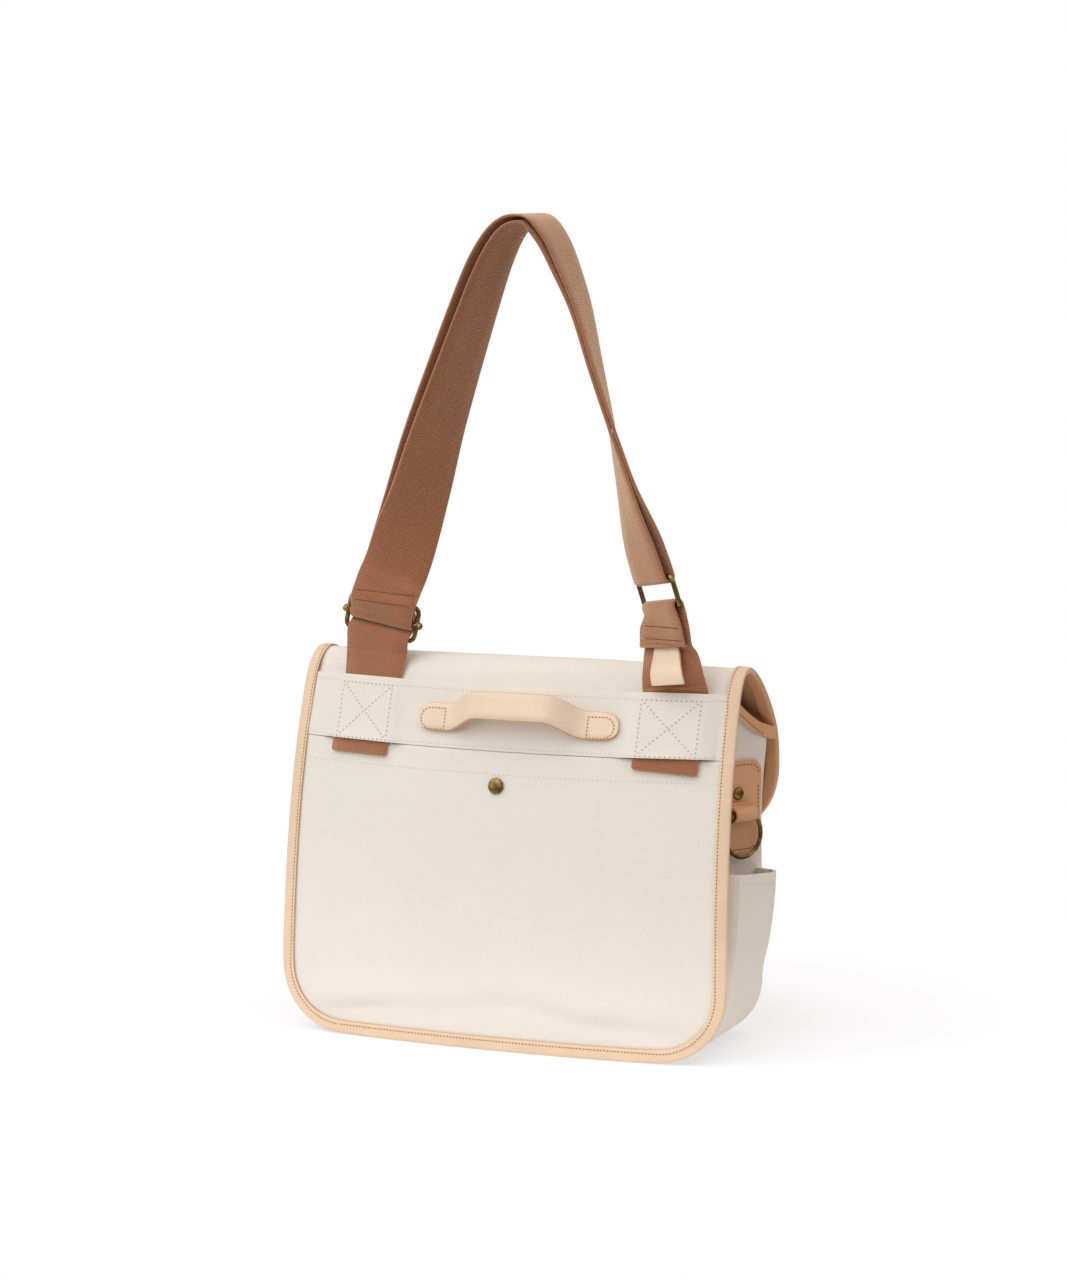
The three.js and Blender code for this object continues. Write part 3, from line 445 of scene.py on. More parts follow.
# Rounded corners on a strip's two cut ends
def roundEnds(piece, radius):
    activate(piece)
    bpy.ops.object.mode_set(mode="EDIT")
    bpy.ops.mesh.select_mode(type="EDGE")
    bpy.ops.mesh.select_all(action="DESELECT")
    work = bmesh.from_edit_mesh(piece.data)
    for face in work.faces:
        sides = [edge.calc_length() for edge in face.edges]
        if len(sides) == 4 and all(len(vert.link_edges) == 3 for vert in face.verts):
            for edge, length in zip(face.edges, sides):
                edge.select = length < meshSet["thin"]
    bmesh.update_edit_mesh(piece.data)
    bpy.ops.mesh.bevel(offset=radius, segments=meshSet["endSegments"], affect="EDGES")
    bpy.ops.mesh.select_mode(type="VERT")
    bpy.ops.object.mode_set(mode="OBJECT")


# Cloth coordinates in metres, square on to each face
def boxUv(piece):
    activate(piece)
    bpy.ops.object.mode_set(mode="EDIT")
    bpy.ops.mesh.select_all(action="SELECT")
    bpy.ops.uv.cube_project(cube_size=1.0, correct_aspect=False)
    bpy.ops.object.mode_set(mode="OBJECT")


def smoothShade(piece, angle=40):
    activate(piece)
    bpy.ops.object.shade_smooth_by_angle(angle=math.radians(angle))


def dress(piece, nodeName, look, body="bag"):
    piece.data.materials.append(looks[look])
    smoothShade(piece)
    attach(piece, body)
    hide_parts(nodeName)


def fade(value, low, high):  # smooth step in plain numbers
    share = min(max((value - low) / (high - low), 0.0), 1.0)
    return share * share * (3 - 2 * share)


def moveVertices(piece, offset):
    for vertex in piece.data.vertices:
        vertex.co += offset(vertex.co)
    piece.data.update()


# Canvas panels: rounded, finely divided and given the slack of cloth
waveSet = {
    "broad": (8.0, 1.5 * mm),        # waves to a metre, and their height
    "small": (26.0, 0.4 * mm),
    "shift": (1.0, 0.7, 1.3),        # which way a panel's seed moves its waves
}


def broadWave(co, seed):
    rate, height = waveSet["broad"]
    fineRate, fineHeight = waveSet["small"]
    shift = Vector([seed * share for share in waveSet["shift"]])
    return height * noise.noise(co * rate + shift) + fineHeight * noise.noise(co * fineRate + shift)


def ripple(co, wave):
    height, rateY, rateZ, seed = wave
    return height * noise.noise(Vector((co.y * rateY, co.z * rateZ, seed)))


def bell(value):
    return math.exp(-value * value)


creaseSet = {
    "height": 19 * mm,               # of the crease at the foot of the back
    "rise": 15 * mm,                 # how much higher it runs in the middle
    "middle": 15 * mm,
    "reach": 75 * mm,
    "ripple": (2 * mm, 61, 0.6),     # its height, rate and start
    "depth": 2.0 * mm,
    "strength": (0.6, 0.8),          # its middle, and how far it varies
    "strengthRate": 13,
    "strengthSeed": (3.1, 0.4),
    "swell": 13 * mm,                # the cloth swells this far above the crease
    "groove": 6 * mm,
    "grooveShare": 0.7,
    "side": (12 * mm, 50 * mm),
}


def creaseSwell(co):
    use = creaseSet
    rippleHeight, rippleRate, rippleStart = use["ripple"]
    height = use["height"] + use["rise"] * bell((co.x - use["middle"]) / use["reach"])
    height += rippleHeight * math.sin(co.x * rippleRate + rippleStart)
    middle, vary = use["strength"]
    strength = middle + vary * noise.noise(Vector((co.x * use["strengthRate"], *use["strengthSeed"])))
    above = bell((co.z - height - use["swell"]) / use["swell"])
    within = bell((co.z - height) / use["groove"])
    return use["depth"] * strength * (above - use["grooveShare"] * within)


pocketSet = {
    "seed": 4.0,
    "half": 176 * mm,                # half its width at the foot
    "taper": 0.019,                  # how fast that narrows upwards
    "edge": (14 * mm, 60 * mm),      # flat by the binding, full further in
    "foot": (10 * mm, 34 * mm),
    "flat": (178 * mm, 200 * mm),    # it lies flat at its hem and snap
    "fullness": 0.5 * mm,
    "deepest": 0.2 * mm,             # no further in than this
}


def pocketSlack(co):
    use = pocketSet
    inward = use["half"] - co.z * use["taper"] - abs(co.x)
    inside = fade(inward, *use["edge"]) * fade(co.z, *use["foot"]) * (1 - fade(co.z, *use["flat"]))
    out = (broadWave(co, use["seed"]) + use["fullness"]) * inside
    out += creaseSwell(co) * fade(inward, *creaseSet["side"])
    return Vector((0, -max(out, -use["deepest"]), 0))


bandSet = {
    "anchors": (-114 * mm, 126 * mm),
    "proud": (24.5 * mm, 29 * mm),   # it stands proud over the webbing, then steps off it
    "rise": 0.9 * mm,
    "foot": (221.5 * mm, 224 * mm),
    "drop": 0.3 * mm,                # its foot closes on the pocket's edge
}


def bandSlack(co):
    over = max(1 - fade(abs(co.x - middle), *bandSet["proud"]) for middle in bandSet["anchors"])
    down = bandSet["drop"] * (1 - fade(co.z, *bandSet["foot"]))
    return Vector((0, -bandSet["rise"] * over, -down))


sheetSet = {
    "seed": 9.0,
    "half": 170 * mm,
    "edge": (10 * mm, 40 * mm),
    "top": (268 * mm, 280 * mm),
    "flapStart": (0, 30 * mm),
    "flapEnd": (160 * mm, 190 * mm),
    "forward": (10 * mm, 60 * mm),
    "topShare": 0.7,
}


def sheetSlack(co):
    use = sheetSet
    inside = fade(use["half"] - abs(co.x), *use["edge"])
    overTop = fade(co.z, *use["top"])
    flap = fade(co.y, *use["flapStart"]) * fade(co.z, *use["flapEnd"])
    lift = broadWave(co, use["seed"]) * inside * max(overTop, flap)
    return Vector((0, lift * fade(co.y, *use["forward"]), lift * overTop * use["topShare"]))


frontSet = {
    "seed": 15.0,
    "half": 165 * mm,
    "edge": (8 * mm, 50 * mm),
    "foot": (8 * mm, 40 * mm),
    "top": (205 * mm, 222 * mm),
}


def frontSlack(co):
    use = frontSet
    inside = fade(use["half"] - abs(co.x), *use["edge"]) * fade(co.z, *use["foot"])
    return Vector((0, broadWave(co, use["seed"]) * inside * (1 - fade(co.z, *use["top"])), 0))


gussetSet = {
    "side": (118 * mm, 140 * mm),
    "low": (60 * mm, 110 * mm),
    "high": (215 * mm, 240 * mm),
    "front": (-8 * mm, 6 * mm),
    "wave": (1.3 * mm, 26, 9, 6.0),      # height, rates along y and z, seed
    "patchTop": (211 * mm, 217 * mm),
    "mouth": (221 * mm, 230 * mm),
    "crumple": (1.8 * mm, 45, 38, 1.7),
}


def gussetSlack(co):
    use = gussetSet
    side = fade(abs(co.x), *use["side"])
    high = fade(co.z, *use["low"]) * (1 - fade(co.z, *use["high"]))
    clear = 1 - fade(co.y, *use["front"])
    overPatch = side * fade(co.z, *use["patchTop"]) * (1 - fade(co.z, *use["mouth"]))
    out = ripple(co, use["wave"]) * side * high * clear + ripple(co, use["crumple"]) * overPatch
    return Vector((math.copysign(out, co.x), 0, 0))


sidePocketSet = {
    "back": (-50 * mm, -30 * mm),
    "front": (24 * mm, 42 * mm),
    "foot": (14 * mm, 60 * mm),
    "wave": (2.0 * mm, 24, 11, 2.2),
    "rim": (95 * mm, 135 * mm),
    "rimDip": 1.5 * mm,
    "rimLean": 0.6,
}


def sidePocketSlack(co):
    use = sidePocketSet
    inner = fade(co.y, *use["back"]) * (1 - fade(co.y, *use["front"]))
    rimDip = -use["rimDip"] * fade(co.z, *use["rim"]) * inner
    out = (ripple(co, use["wave"]) + rimDip * use["rimLean"]) * inner * fade(co.z, *use["foot"])
    return Vector((math.copysign(out, co.x), 0, rimDip))


canvasPieces = {
    "back_flap_sheet": {"piece": "backAndFlap", "levels": 2, "bevel": 0.4, "slack": sheetSlack},
    "back_pocket": {"piece": "slipPocketPanel", "levels": 3, "bevel": 0.3, "slack": pocketSlack},
    "anchor_band": {"piece": "anchorBand", "levels": 2, "bevel": 0.35, "slack": bandSlack},
    "gusset": {"piece": "sidesAndBottom", "levels": 2, "bevel": 0.4, "slack": gussetSlack},
    "front_panel": {"piece": "frontPanel", "levels": 2, "bevel": 0.4, "slack": frontSlack},
    "side_pocket_right": {"piece": "sidePocketRight", "levels": 3, "bevel": 0.35, "slack": sidePocketSlack},
    "side_pocket_left": {"piece": "sidePocketLeft", "levels": 3, "bevel": 0.35, "slack": sidePocketSlack},
}
made = {}
for nodeName, use in canvasPieces.items():
    panel = copyOf(nodeName, use["piece"])
    creaseCorners(panel)
    addSubdivision(panel, use["levels"])
    addBevel(panel, use["bevel"] * mm)
    applyModifiers(panel)
    moveVertices(panel, use["slack"])
    boxUv(panel)
    dress(panel, nodeName, "canvas")
    made[nodeName] = panel
print("canvas panels dressed:", len(canvasPieces))


# Leather trims that keep the CAD section
leatherTrims = {
    "edge_binding": {"piece": "edgeBinding", "levels": 2, "bevel": 0.3, "look": "bindingLeather"},
    "mouth_binding": {"piece": "mouthBinding", "levels": 2, "bevel": 0.3, "look": "tanLeather"},
    "side_patch_right": {"piece": "sidePatchRight", "levels": 2, "bevel": 0.4, "look": "tanLeather"},
    "side_patch_left": {"piece": "sidePatchLeft", "levels": 2, "bevel": 0.4, "look": "tanLeather"},
}
tanInsideSet = {"hub": Vector((0, 20, 200)) * mm, "facing": 0.35, "flapFrom": 12 * mm}


# Tan on the faces that look inwards: a tan lining inside the flap sheet, and painted shade on the binding's
# inner side; where asked, painted shade also on the edge of the flap, in place of its lit rim
def tanLiningAndPaintedShade(piece, shadeFlapEdge):
    piece.data.materials.append(looks["tanLeather"])
    for face in piece.data.polygons:
        inward = tanInsideSet["hub"] - face.center
        inward.x = 0
        facing = face.normal.dot(inward.normalized())
        paintedShadeOnEdge = shadeFlapEdge and facing > -tanInsideSet["facing"] and face.center.y > tanInsideSet["flapFrom"]
        if facing > tanInsideSet["facing"] or paintedShadeOnEdge:
            face.material_index = 1


for nodeName, use in leatherTrims.items():
    trim = copyOf(nodeName, use["piece"])
    creaseCorners(trim)
    addSubdivision(trim, use["levels"])
    addBevel(trim, use["bevel"] * mm)
    applyModifiers(trim)
    dress(trim, nodeName, use["look"])
    made[nodeName] = trim
# painted shade: the binding's inward faces and the flap's edge take the darker tan, though they are the same
# leather as its outside
tanLiningAndPaintedShade(made["edge_binding"], True)
tanLiningAndPaintedShade(made["back_flap_sheet"], False)
print("leather trims dressed:", len(leatherTrims))


# Strips: cloth coordinates that follow the strip, and its two thin sides marked as cut edges
def uvAlongStrip(piece):
    work = bmesh.new()
    work.from_mesh(piece.data)
    ends = [face for face in work.faces if len(face.verts) == 4]
    ends.sort(key=lambda face: sum(len(vert.link_edges) for vert in face.verts))
    ring = {vert.index: 0 for vert in ends[0].verts}
    rings = [list(ends[0].verts)]
    while True:
        after = []
        for vert in rings[-1]:
            for edge in vert.link_edges:
                other = edge.other_vert(vert)
                if other.index not in ring:
                    ring[other.index] = len(rings)
                    after.append(other)
        if not after:
            break
        rings.append(after)
    along = [0.0]
    middles = [sum((vert.co for vert in verts), Vector()) / len(verts) for verts in rings]
    for before, here in zip(middles, middles[1:]):
        along.append(along[-1] + (here - before).length)
    across = {}
    lastAxis = None
    for verts, middle in zip(rings, middles):
        pairs = [(a, b) for a in verts for b in verts if a is not b]
        wide = max(pairs, key=lambda pair: (pair[0].co - pair[1].co).length)
        axis = (wide[0].co - wide[1].co).normalized()
        if lastAxis is not None and axis.dot(lastAxis) < 0:
            axis = -axis
        lastAxis = axis
        for vert in verts:
            across[vert.index] = (vert.co - middle).dot(axis)
    layer = work.loops.layers.uv.verify()
    for face in work.faces:
        spans = [across[vert.index] for vert in face.verts]
        for loop in face.loops:
            loop[layer].uv = (across[loop.vert.index], along[ring[loop.vert.index]])
        face.material_index = 1 if max(spans) - min(spans) < meshSet["thin"] else 0
    work.to_mesh(piece.data)
    work.free()


# Fold of the right anchor: its end and the tab's end hang level, not square to the webbing
foldSet = {
    "centre": Vector((116.2, -31.8, 329.9)) * mm,
    "travel": Vector((0.28, 0.08, -0.957)),
    "across": Vector((0.729, -0.658, 0.13)),
    "inward": Vector((0.66, 0.75, 0)),
    "slant": 0.22,
    "slantStart": (3 * mm, 20 * mm),     # past the ring's bar
    "slantEnd": (38 * mm, 54 * mm),
    "tabWiden": 0.15,
}


def foldSlant(co):
    offset = co - foldSet["centre"]
    past = offset.dot(foldSet["travel"])
    side = offset.dot(foldSet["across"])
    start, full = foldSet["slantStart"]
    return foldSet["travel"] * (side * foldSet["slant"] * fade(past, start, full))


def foldShape(co):
    past = (co - foldSet["centre"]).dot(foldSet["travel"])
    still, none = foldSet["slantEnd"]
    return foldSlant(co) * (1 - fade(past, still, none))


def tabShape(co):
    side = (co - foldSet["centre"]).dot(foldSet["across"])
    return foldSlant(co) + foldSet["across"] * (side * foldSet["tabWiden"])


strips = {
    "strap_webbing": {"piece": "strapWebbing", "look": "webbing", "edge": "webbing"},
    "right_anchor_webbing": {
        "piece": "rightAnchorWebbing", "look": "webbing", "edge": "webbing", "shape": foldShape},
    "grab_handle": {"piece": "grabHandle", "look": "leather", "edge": "leatherEdge"},
    "pull_tab": {"piece": "pullTab", "look": "leather", "edge": "leatherEdge", "shape": tabShape},
}
stripEdge = {
    "fatten": 0.58 * mm,             # closes the gap between the strap's layers
    "endRadius": 2.2 * mm,
    "hold": 0.72,                    # a part crease, so that the edges come out rounded
    "levels": 2,
    "smooth": 60,
}
for nodeName, use in strips.items():
    strip = copyOf(nodeName, use["piece"])
    uvAlongStrip(strip)
    if use["look"] == "webbing":
        addFatten(strip, stripEdge["fatten"])
        applyModifiers(strip)
        roundEnds(strip, stripEdge["endRadius"])
    creaseCorners(strip, stripEdge["hold"])
    addSubdivision(strip, stripEdge["levels"])
    applyModifiers(strip)
    if "shape" in use:
        moveVertices(strip, use["shape"])
    strip.data.materials.append(looks[use["look"]])
    strip.data.materials.append(looks[use["edge"]])
    smoothShade(strip, stripEdge["smooth"])
    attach(strip, "bag")
    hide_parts(nodeName)
    made[nodeName] = strip
print("strips dressed:", len(strips))


# Brass fittings and the rings' leather keepers, rounded from their CAD solids
fittingKinds = {
    "wire": {"look": "brass", "slot": "brass", "voxel": 0.35 * mm, "fatten": 0.16 * mm},
    "ring": {"look": "brass", "slot": "brass", "voxel": 0.3 * mm, "fatten": 0.16 * mm},
    "cap": {"look": "brass", "slot": "brass", "voxel": 0.25 * mm, "fatten": 0.0},
    "keeper": {"look": "tanLeather", "slot": "leather", "voxel": 0.35 * mm, "fatten": 0.16 * mm},
}
fittings = {
    "strap_slider": {"piece": "strapSlider", "kind": "wire", "body": "bag"},
    "strap_ring": {"piece": "strapRing", "kind": "wire", "body": "bag"},
    "side_ring_right": {"piece": "sideRingRight", "kind": "ring", "body": "ring_right"},
    "side_ring_left": {"piece": "sideRingLeft", "kind": "ring", "body": "ring_left"},
    "pocket_snap": {"piece": "pocketSnap", "kind": "cap", "body": "bag"},
    "side_rivet_right": {"piece": "sideRivetRight", "kind": "cap", "body": "bag"},
    "side_rivet_left": {"piece": "sideRivetLeft", "kind": "cap", "body": "bag"},
    "ring_keeper_right": {"piece": "ringKeeperRight", "kind": "keeper", "body": "bag"},
    "ring_keeper_left": {"piece": "ringKeeperLeft", "kind": "keeper", "body": "bag"},
}
relaxSet = {"factor": 0.5, "rounds": 5}
for nodeName, use in fittings.items():
    kind = fittingKinds[use["kind"]]
    fitting = copyOf(nodeName, use["piece"])
    if kind["fatten"]:
        addFatten(fitting, kind["fatten"])
    remesh = fitting.modifiers.new("remesh", "REMESH")
    remesh.mode = "VOXEL"
    remesh.voxel_size = kind["voxel"]
    relax = fitting.modifiers.new("relax", "SMOOTH")
    relax.factor = relaxSet["factor"]
    relax.iterations = relaxSet["rounds"]
    applyModifiers(fitting)
    dress(fitting, nodeName, kind["look"], use["body"])
print("fittings dressed:", len(fittings))


# Stitches, sizes in mm: one stitch and a dark disc of painted shade for its needle hole are modelled, then
# copied along each seam
stitchSet = {
    "leather": {"thread": "tanThread", "holeShade": "tanHoleShade",
                "length": 1.6, "radius": 0.26, "pitch": 2.6, "holeShadeRadius": 0.58},
    "patch": {"thread": "darkThread", "holeShade": "darkHoleShade",
              "length": 1.7, "radius": 0.4, "pitch": 3.1, "holeShadeRadius": 0.2},
    "canvas": {"thread": "paleThread", "holeShade": "paleHoleShade",
               "length": 2.0, "radius": 0.2, "pitch": 3.4, "holeShadeRadius": 0.64},
    "hem": {"thread": "paleThread", "holeShade": "hemHoleShade",
            "length": 2.0, "radius": 0.2, "pitch": 3.4, "holeShadeRadius": 0.52},
    "webbing": {"thread": "ribThread", "holeShade": "ribHoleShade",
                "length": 2.0, "radius": 0.3, "pitch": 2.8, "holeShadeRadius": 0.45},
}
stitchShape = {
    "sides": 6,
    "straight": 0.6,                 # shares of the length
    "end": 0.2,
    "endFrom": 0.4,
    "endFacing": 0.9,
    "taper": 0.55,                   # share of the width left at the ends
    "dip": 0.8,                      # shares of the radius
    "rise": 0.25,
    "flatten": 0.8,
    "holeShadeSides": 8,
    "holeShadeRise": 0.08 * mm,
}


def modelStitch(name, use):
    shape = stitchShape
    deselect()
    length = use["length"] * mm
    radius = use["radius"] * mm
    bpy.ops.mesh.primitive_cylinder_add(
        vertices=shape["sides"], radius=radius, depth=length * shape["straight"])
    stitch = bpy.context.active_object
    stitch.name = name
    bpy.ops.object.mode_set(mode="EDIT")
    bpy.ops.mesh.select_all(action="DESELECT")
    work = bmesh.from_edit_mesh(stitch.data)
    for face in work.faces:
        face.select = abs(face.normal.z) > shape["endFacing"]
    bmesh.update_edit_mesh(stitch.data)
    bpy.ops.mesh.extrude_faces_move(TRANSFORM_OT_shrink_fatten={"value": length * shape["end"]})
    work = bmesh.from_edit_mesh(stitch.data)
    for vert in work.verts:  # tapered ends that dip under the surface
        if abs(vert.co.z) > length * shape["endFrom"]:
            vert.co.x *= shape["taper"]
            vert.co.y = vert.co.y * shape["taper"] - radius * shape["dip"]
    for vert in work.verts:  # length along X, height along Z
        height = vert.co.y * shape["flatten"] + radius * shape["rise"]
        vert.co = Vector((vert.co.z, -vert.co.x, height))
    bmesh.update_edit_mesh(stitch.data)
    bpy.ops.mesh.normals_make_consistent(inside=False)
    bpy.ops.object.mode_set(mode="OBJECT")
    stitch.data.materials.append(looks[use["thread"]])
    # a flat dark disc just above the surface beside the stitch: painted shade of its needle hole
    bpy.ops.mesh.primitive_circle_add(
        vertices=shape["holeShadeSides"], radius=use["holeShadeRadius"] * mm, fill_type="NGON",
        location=(use["pitch"] / 2 * mm, 0, shape["holeShadeRise"]))
    holeShade = bpy.context.active_object
    bpy.ops.object.transform_apply(location=True)
    holeShade.data.materials.append(looks[use["holeShade"]])
    stitch.select_set(True)
    bpy.context.view_layer.objects.active = stitch
    bpy.ops.object.join()
    return stitch


def surfaceOf(nodeName):
    bpy.context.view_layer.update()
    return BVHTree.FromObject(made[nodeName], bpy.context.evaluated_depsgraph_get())


# Points and normals where rays meet a surface
def hits(surface, rays):
    found = []
    for origin, direction in rays:
        point, normal, _, _ = surface.ray_cast(Vector(origin), Vector(direction))
        if point is not None:
            if normal.dot(Vector(direction)) > 0:
                normal = -normal
            found.append((point, normal))
    return found


def spread(low, high, count):
    return [low + (high - low) * i / (count - 1) for i in range(count)]


# Places at an even pitch along a run of points
def evenPlaces(run, pitch):
    lengths = [0.0]
    for (before, _), (here, _) in zip(run, run[1:]):
        lengths.append(lengths[-1] + (here - before).length)
    count = max(int(lengths[-1] / pitch), 1)
    step = lengths[-1] / count
    places = []
    at = 0
    for k in range(count):
        want = (k + 0.5) * step
        while lengths[at + 1] < want:
            at += 1
        share = (want - lengths[at]) / (lengths[at + 1] - lengths[at])
        point = run[at][0].lerp(run[at + 1][0], share)
        normal = run[at][1].lerp(run[at + 1][1], share).normalized()
        tangent = (run[at + 1][0] - run[at][0]).normalized()
        places.append((point, normal, tangent))
    return places


def sew(name, kind, runs):
    use = stitchSet[kind]
    model = modelStitch(name, use)
    copies = []
    for run in runs:
        for point, normal, tangent in evenPlaces(run, use["pitch"] * mm):
            side = normal.cross(tangent).normalized()
            forward = side.cross(normal)
            turn = Matrix((forward, side, normal)).transposed().to_4x4()
            mesh = model.data.copy()
            mesh.transform(Matrix.Translation(point) @ turn)
            copy = bpy.data.objects.new(name, mesh)
            scene.collection.objects.link(copy)
            copies.append(copy)
    bpy.data.objects.remove(model)
    deselect()
    for copy in copies:
        copy.select_set(True)
    bpy.context.view_layer.objects.active = copies[0]
    bpy.ops.object.join()
    seam = bpy.context.active_object
    seam.name = name
    seam.data.name = name
    smoothShade(seam)
    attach(seam, "bag")
    print("sewn:", name, len(copies))


# Rays for the seams start this far out, in metres
backFar = 0.3
sideFar = 0.4
rowPoints = 60                       # rays along a straight row


def alongX(surface, low, high, height, side=-1, tilt=0.0):
    rays = []
    for x in spread(low, high, rowPoints):
        rays.append(((x, side * backFar, height + (x - low) * tilt), (0, -side, 0)))
    return hits(surface, rays)


def mirrored(rays):
    return [((-x, y, z), (-toX, toY, toZ)) for (x, y, z), (toX, toY, toZ) in rays]


# More points along each side of an outline
def dense(outline, parts):
    points = []
    for (a0, b0), (a1, b1) in zip(outline, outline[1:]):
        points += [(a0 + (a1 - a0) * s, b0 + (b1 - b0) * s) for s in spread(0, 1, parts + 1)[:-1]]
    return points


# Binding: down the back, round the foot, over the top and round the flap
bindingSeam = {
    "inset": 5.6 * mm,
    "halfFoot": 176 * mm,
    "halfTop": 170.5 * mm,
    "fullHeight": 290 * mm,          # over which the sides draw in
    "corner": 49 * mm,
    "cornerEase": 1 * mm,            # the lower corners run this much further in
    "foot": 2 * mm,
    "backTop": 258 * mm,
    "flapEnd": 147 * mm,
    "hub": (20 * mm, 200 * mm),      # y and z that the rays over the top aim at
    "sweep": (53, 183),              # degrees round the hub
    "points": {"side": 50, "corner": 20, "top": 90},
}


def bindingRays():
    use = bindingSeam
    points = use["points"]
    radius = use["corner"] - use["inset"]
    footZ = use["foot"] + use["corner"]
    lower = []
    for z in spread(use["backTop"], footZ, points["side"]):
        half = use["halfFoot"] - (use["halfFoot"] - use["halfTop"]) * z / use["fullHeight"]
        lower.append((half - use["inset"], z))
    turnX = use["halfFoot"] - use["corner"]
    for angle in spread(0, 90, points["corner"])[1:]:
        turn = math.radians(angle)
        reach = (radius - use["cornerEase"]) * math.cos(turn)
        lower.append((turnX + reach, footZ - radius * math.sin(turn)))
    end = []
    flapZ = use["flapEnd"] + use["corner"]
    endX = use["halfTop"] - use["corner"]
    for angle in spread(0, 90, points["corner"]):
        turn = math.radians(angle)
        end.append((endX + radius * math.cos(turn), flapZ - radius * math.sin(turn)))
    hubY, hubZ = use["hub"]
    topX = use["halfTop"] - use["inset"]
    rays = [((x, -backFar, z), (0, 1, 0)) for x, z in reversed(lower)]
    for angle in spread(*use["sweep"], points["top"]):
        turn = math.radians(angle)
        outY = -math.cos(turn)
        outZ = math.sin(turn)
        rays.append(((topX, hubY + sideFar * outY, hubZ + sideFar * outZ), (0, -outY, -outZ)))
    rays += [((x, backFar, z), (0, -1, 0)) for x, z in end]
    return rays


bindingSurface = surfaceOf("edge_binding")
rightRays = bindingRays()
footX = bindingSeam["halfFoot"] - bindingSeam["corner"]
endX = bindingSeam["halfTop"] - bindingSeam["corner"]
sew("bindingStitches", "leather", [
    hits(bindingSurface, rightRays),
    hits(bindingSurface, mirrored(rightRays)),
    alongX(bindingSurface, -footX, footX, bindingSeam["foot"] + bindingSeam["inset"]),
    alongX(bindingSurface, -endX, endX, bindingSeam["flapEnd"] + bindingSeam["inset"], 1),
])


# Band: a faint row along both its edges, and a crossed box over each anchor
bandSeam = {
    "half": 164 * mm,
    "low": 223.6 * mm,
    "high": 262.6 * mm,
    "boxHalf": 21.5 * mm,
    "points": 24,
}


def lineOn(surface, start, end):
    rays = []
    for share in spread(0, 1, bandSeam["points"]):
        x = start[0] + (end[0] - start[0]) * share
        z = start[1] + (end[1] - start[1]) * share
        rays.append(((x, -backFar, z), (0, 1, 0)))
    return hits(surface, rays)


bandSurface = surfaceOf("anchor_band")
low = bandSeam["low"]
high = bandSeam["high"]
bandRuns = []
clear = [-bandSeam["half"]]          # where the faint rows start and stop
for middle in bandSet["anchors"]:
    west = middle - bandSeam["boxHalf"]
    east = middle + bandSeam["boxHalf"]
    clear += [west, east]
    lines = [((west, low), (west, high)), ((west, high), (east, high)), ((east, high), (east, low)),
             ((east, low), (west, low)), ((west, low), (east, high)), ((west, high), (east, low))]
    bandRuns += [lineOn(bandSurface, start, end) for start, end in lines]
clear.append(bandSeam["half"])
sew("bandStitches", "canvas", bandRuns)
sew("bandHemStitches", "hem", [
    alongX(bandSurface, start, end, z) for z in (low, high) for start, end in zip(clear[::2], clear[1::2])])


# Hem of the slip pocket
hemSeam = {"half": 164 * mm, "height": 204.5 * mm}
sew("pocketHemStitches", "hem", [
    alongX(surfaceOf("back_pocket"), -hemSeam["half"], hemSeam["half"], hemSeam["height"]),
])


# Handle: a D sewn round each end
handleSeam = {
    "centre": 11 * mm,
    "height": 242 * mm,
    "reach": 78 * mm,
    "radius": 8.1 * mm,
    "cap": 10.5 * mm,
    "bar": 22 * mm,
    "squash": 0.93,                  # height of the D, as a share of a round one's
    "points": 30,
    "parts": 4,
}


def handleD(side):
    use = handleSeam
    capX = use["reach"] - use["cap"]
    barX = use["reach"] - use["bar"]
    outline = [(barX, -use["radius"])]
    for angle in spread(-90, 90, use["points"]):
        turn = math.radians(angle)
        outline.append((capX + use["radius"] * math.cos(turn), use["radius"] * math.sin(turn)))
    outline.append((barX, use["radius"]))
    outline.append(outline[0])
    rays = []
    for x, z in dense(outline, use["parts"]) + [outline[0]]:
        rays.append(((use["centre"] + side * x, -backFar, use["height"] + z * use["squash"]), (0, 1, 0)))
    return rays


handleSurface = surfaceOf("grab_handle")
sew("handleStitches", "leather", [hits(handleSurface, handleD(side)) for side in (-1, 1)])


# Sides: patch outlines, pocket rims and the mouth binding
sideSeam = {
    "patchInset": 2.8 * mm,
    "patchEase": 1 * mm,             # its upright sides run this much further in
    "patchCorner": 7.5 * mm,
    "patchPoints": 8,
    "patchParts": 6,
    "rimBack": 140 * mm,
    "rimFront": 127 * mm,
    "rimDrop": 9 * mm,
    "rimSpan": (-44 * mm, 38 * mm),
    "mouthBack": 262 * mm,
    "mouthFront": 231 * mm,
    "mouthDrop": 5.4 * mm,
    "mouthSpan": (-15 * mm, 50 * mm),
    "mouthStart": 0.08,              # share of the fall where the row begins
    "mouthCurve": 1.9,
    "mouthHalf": 166 * mm,
    "points": 40,
}


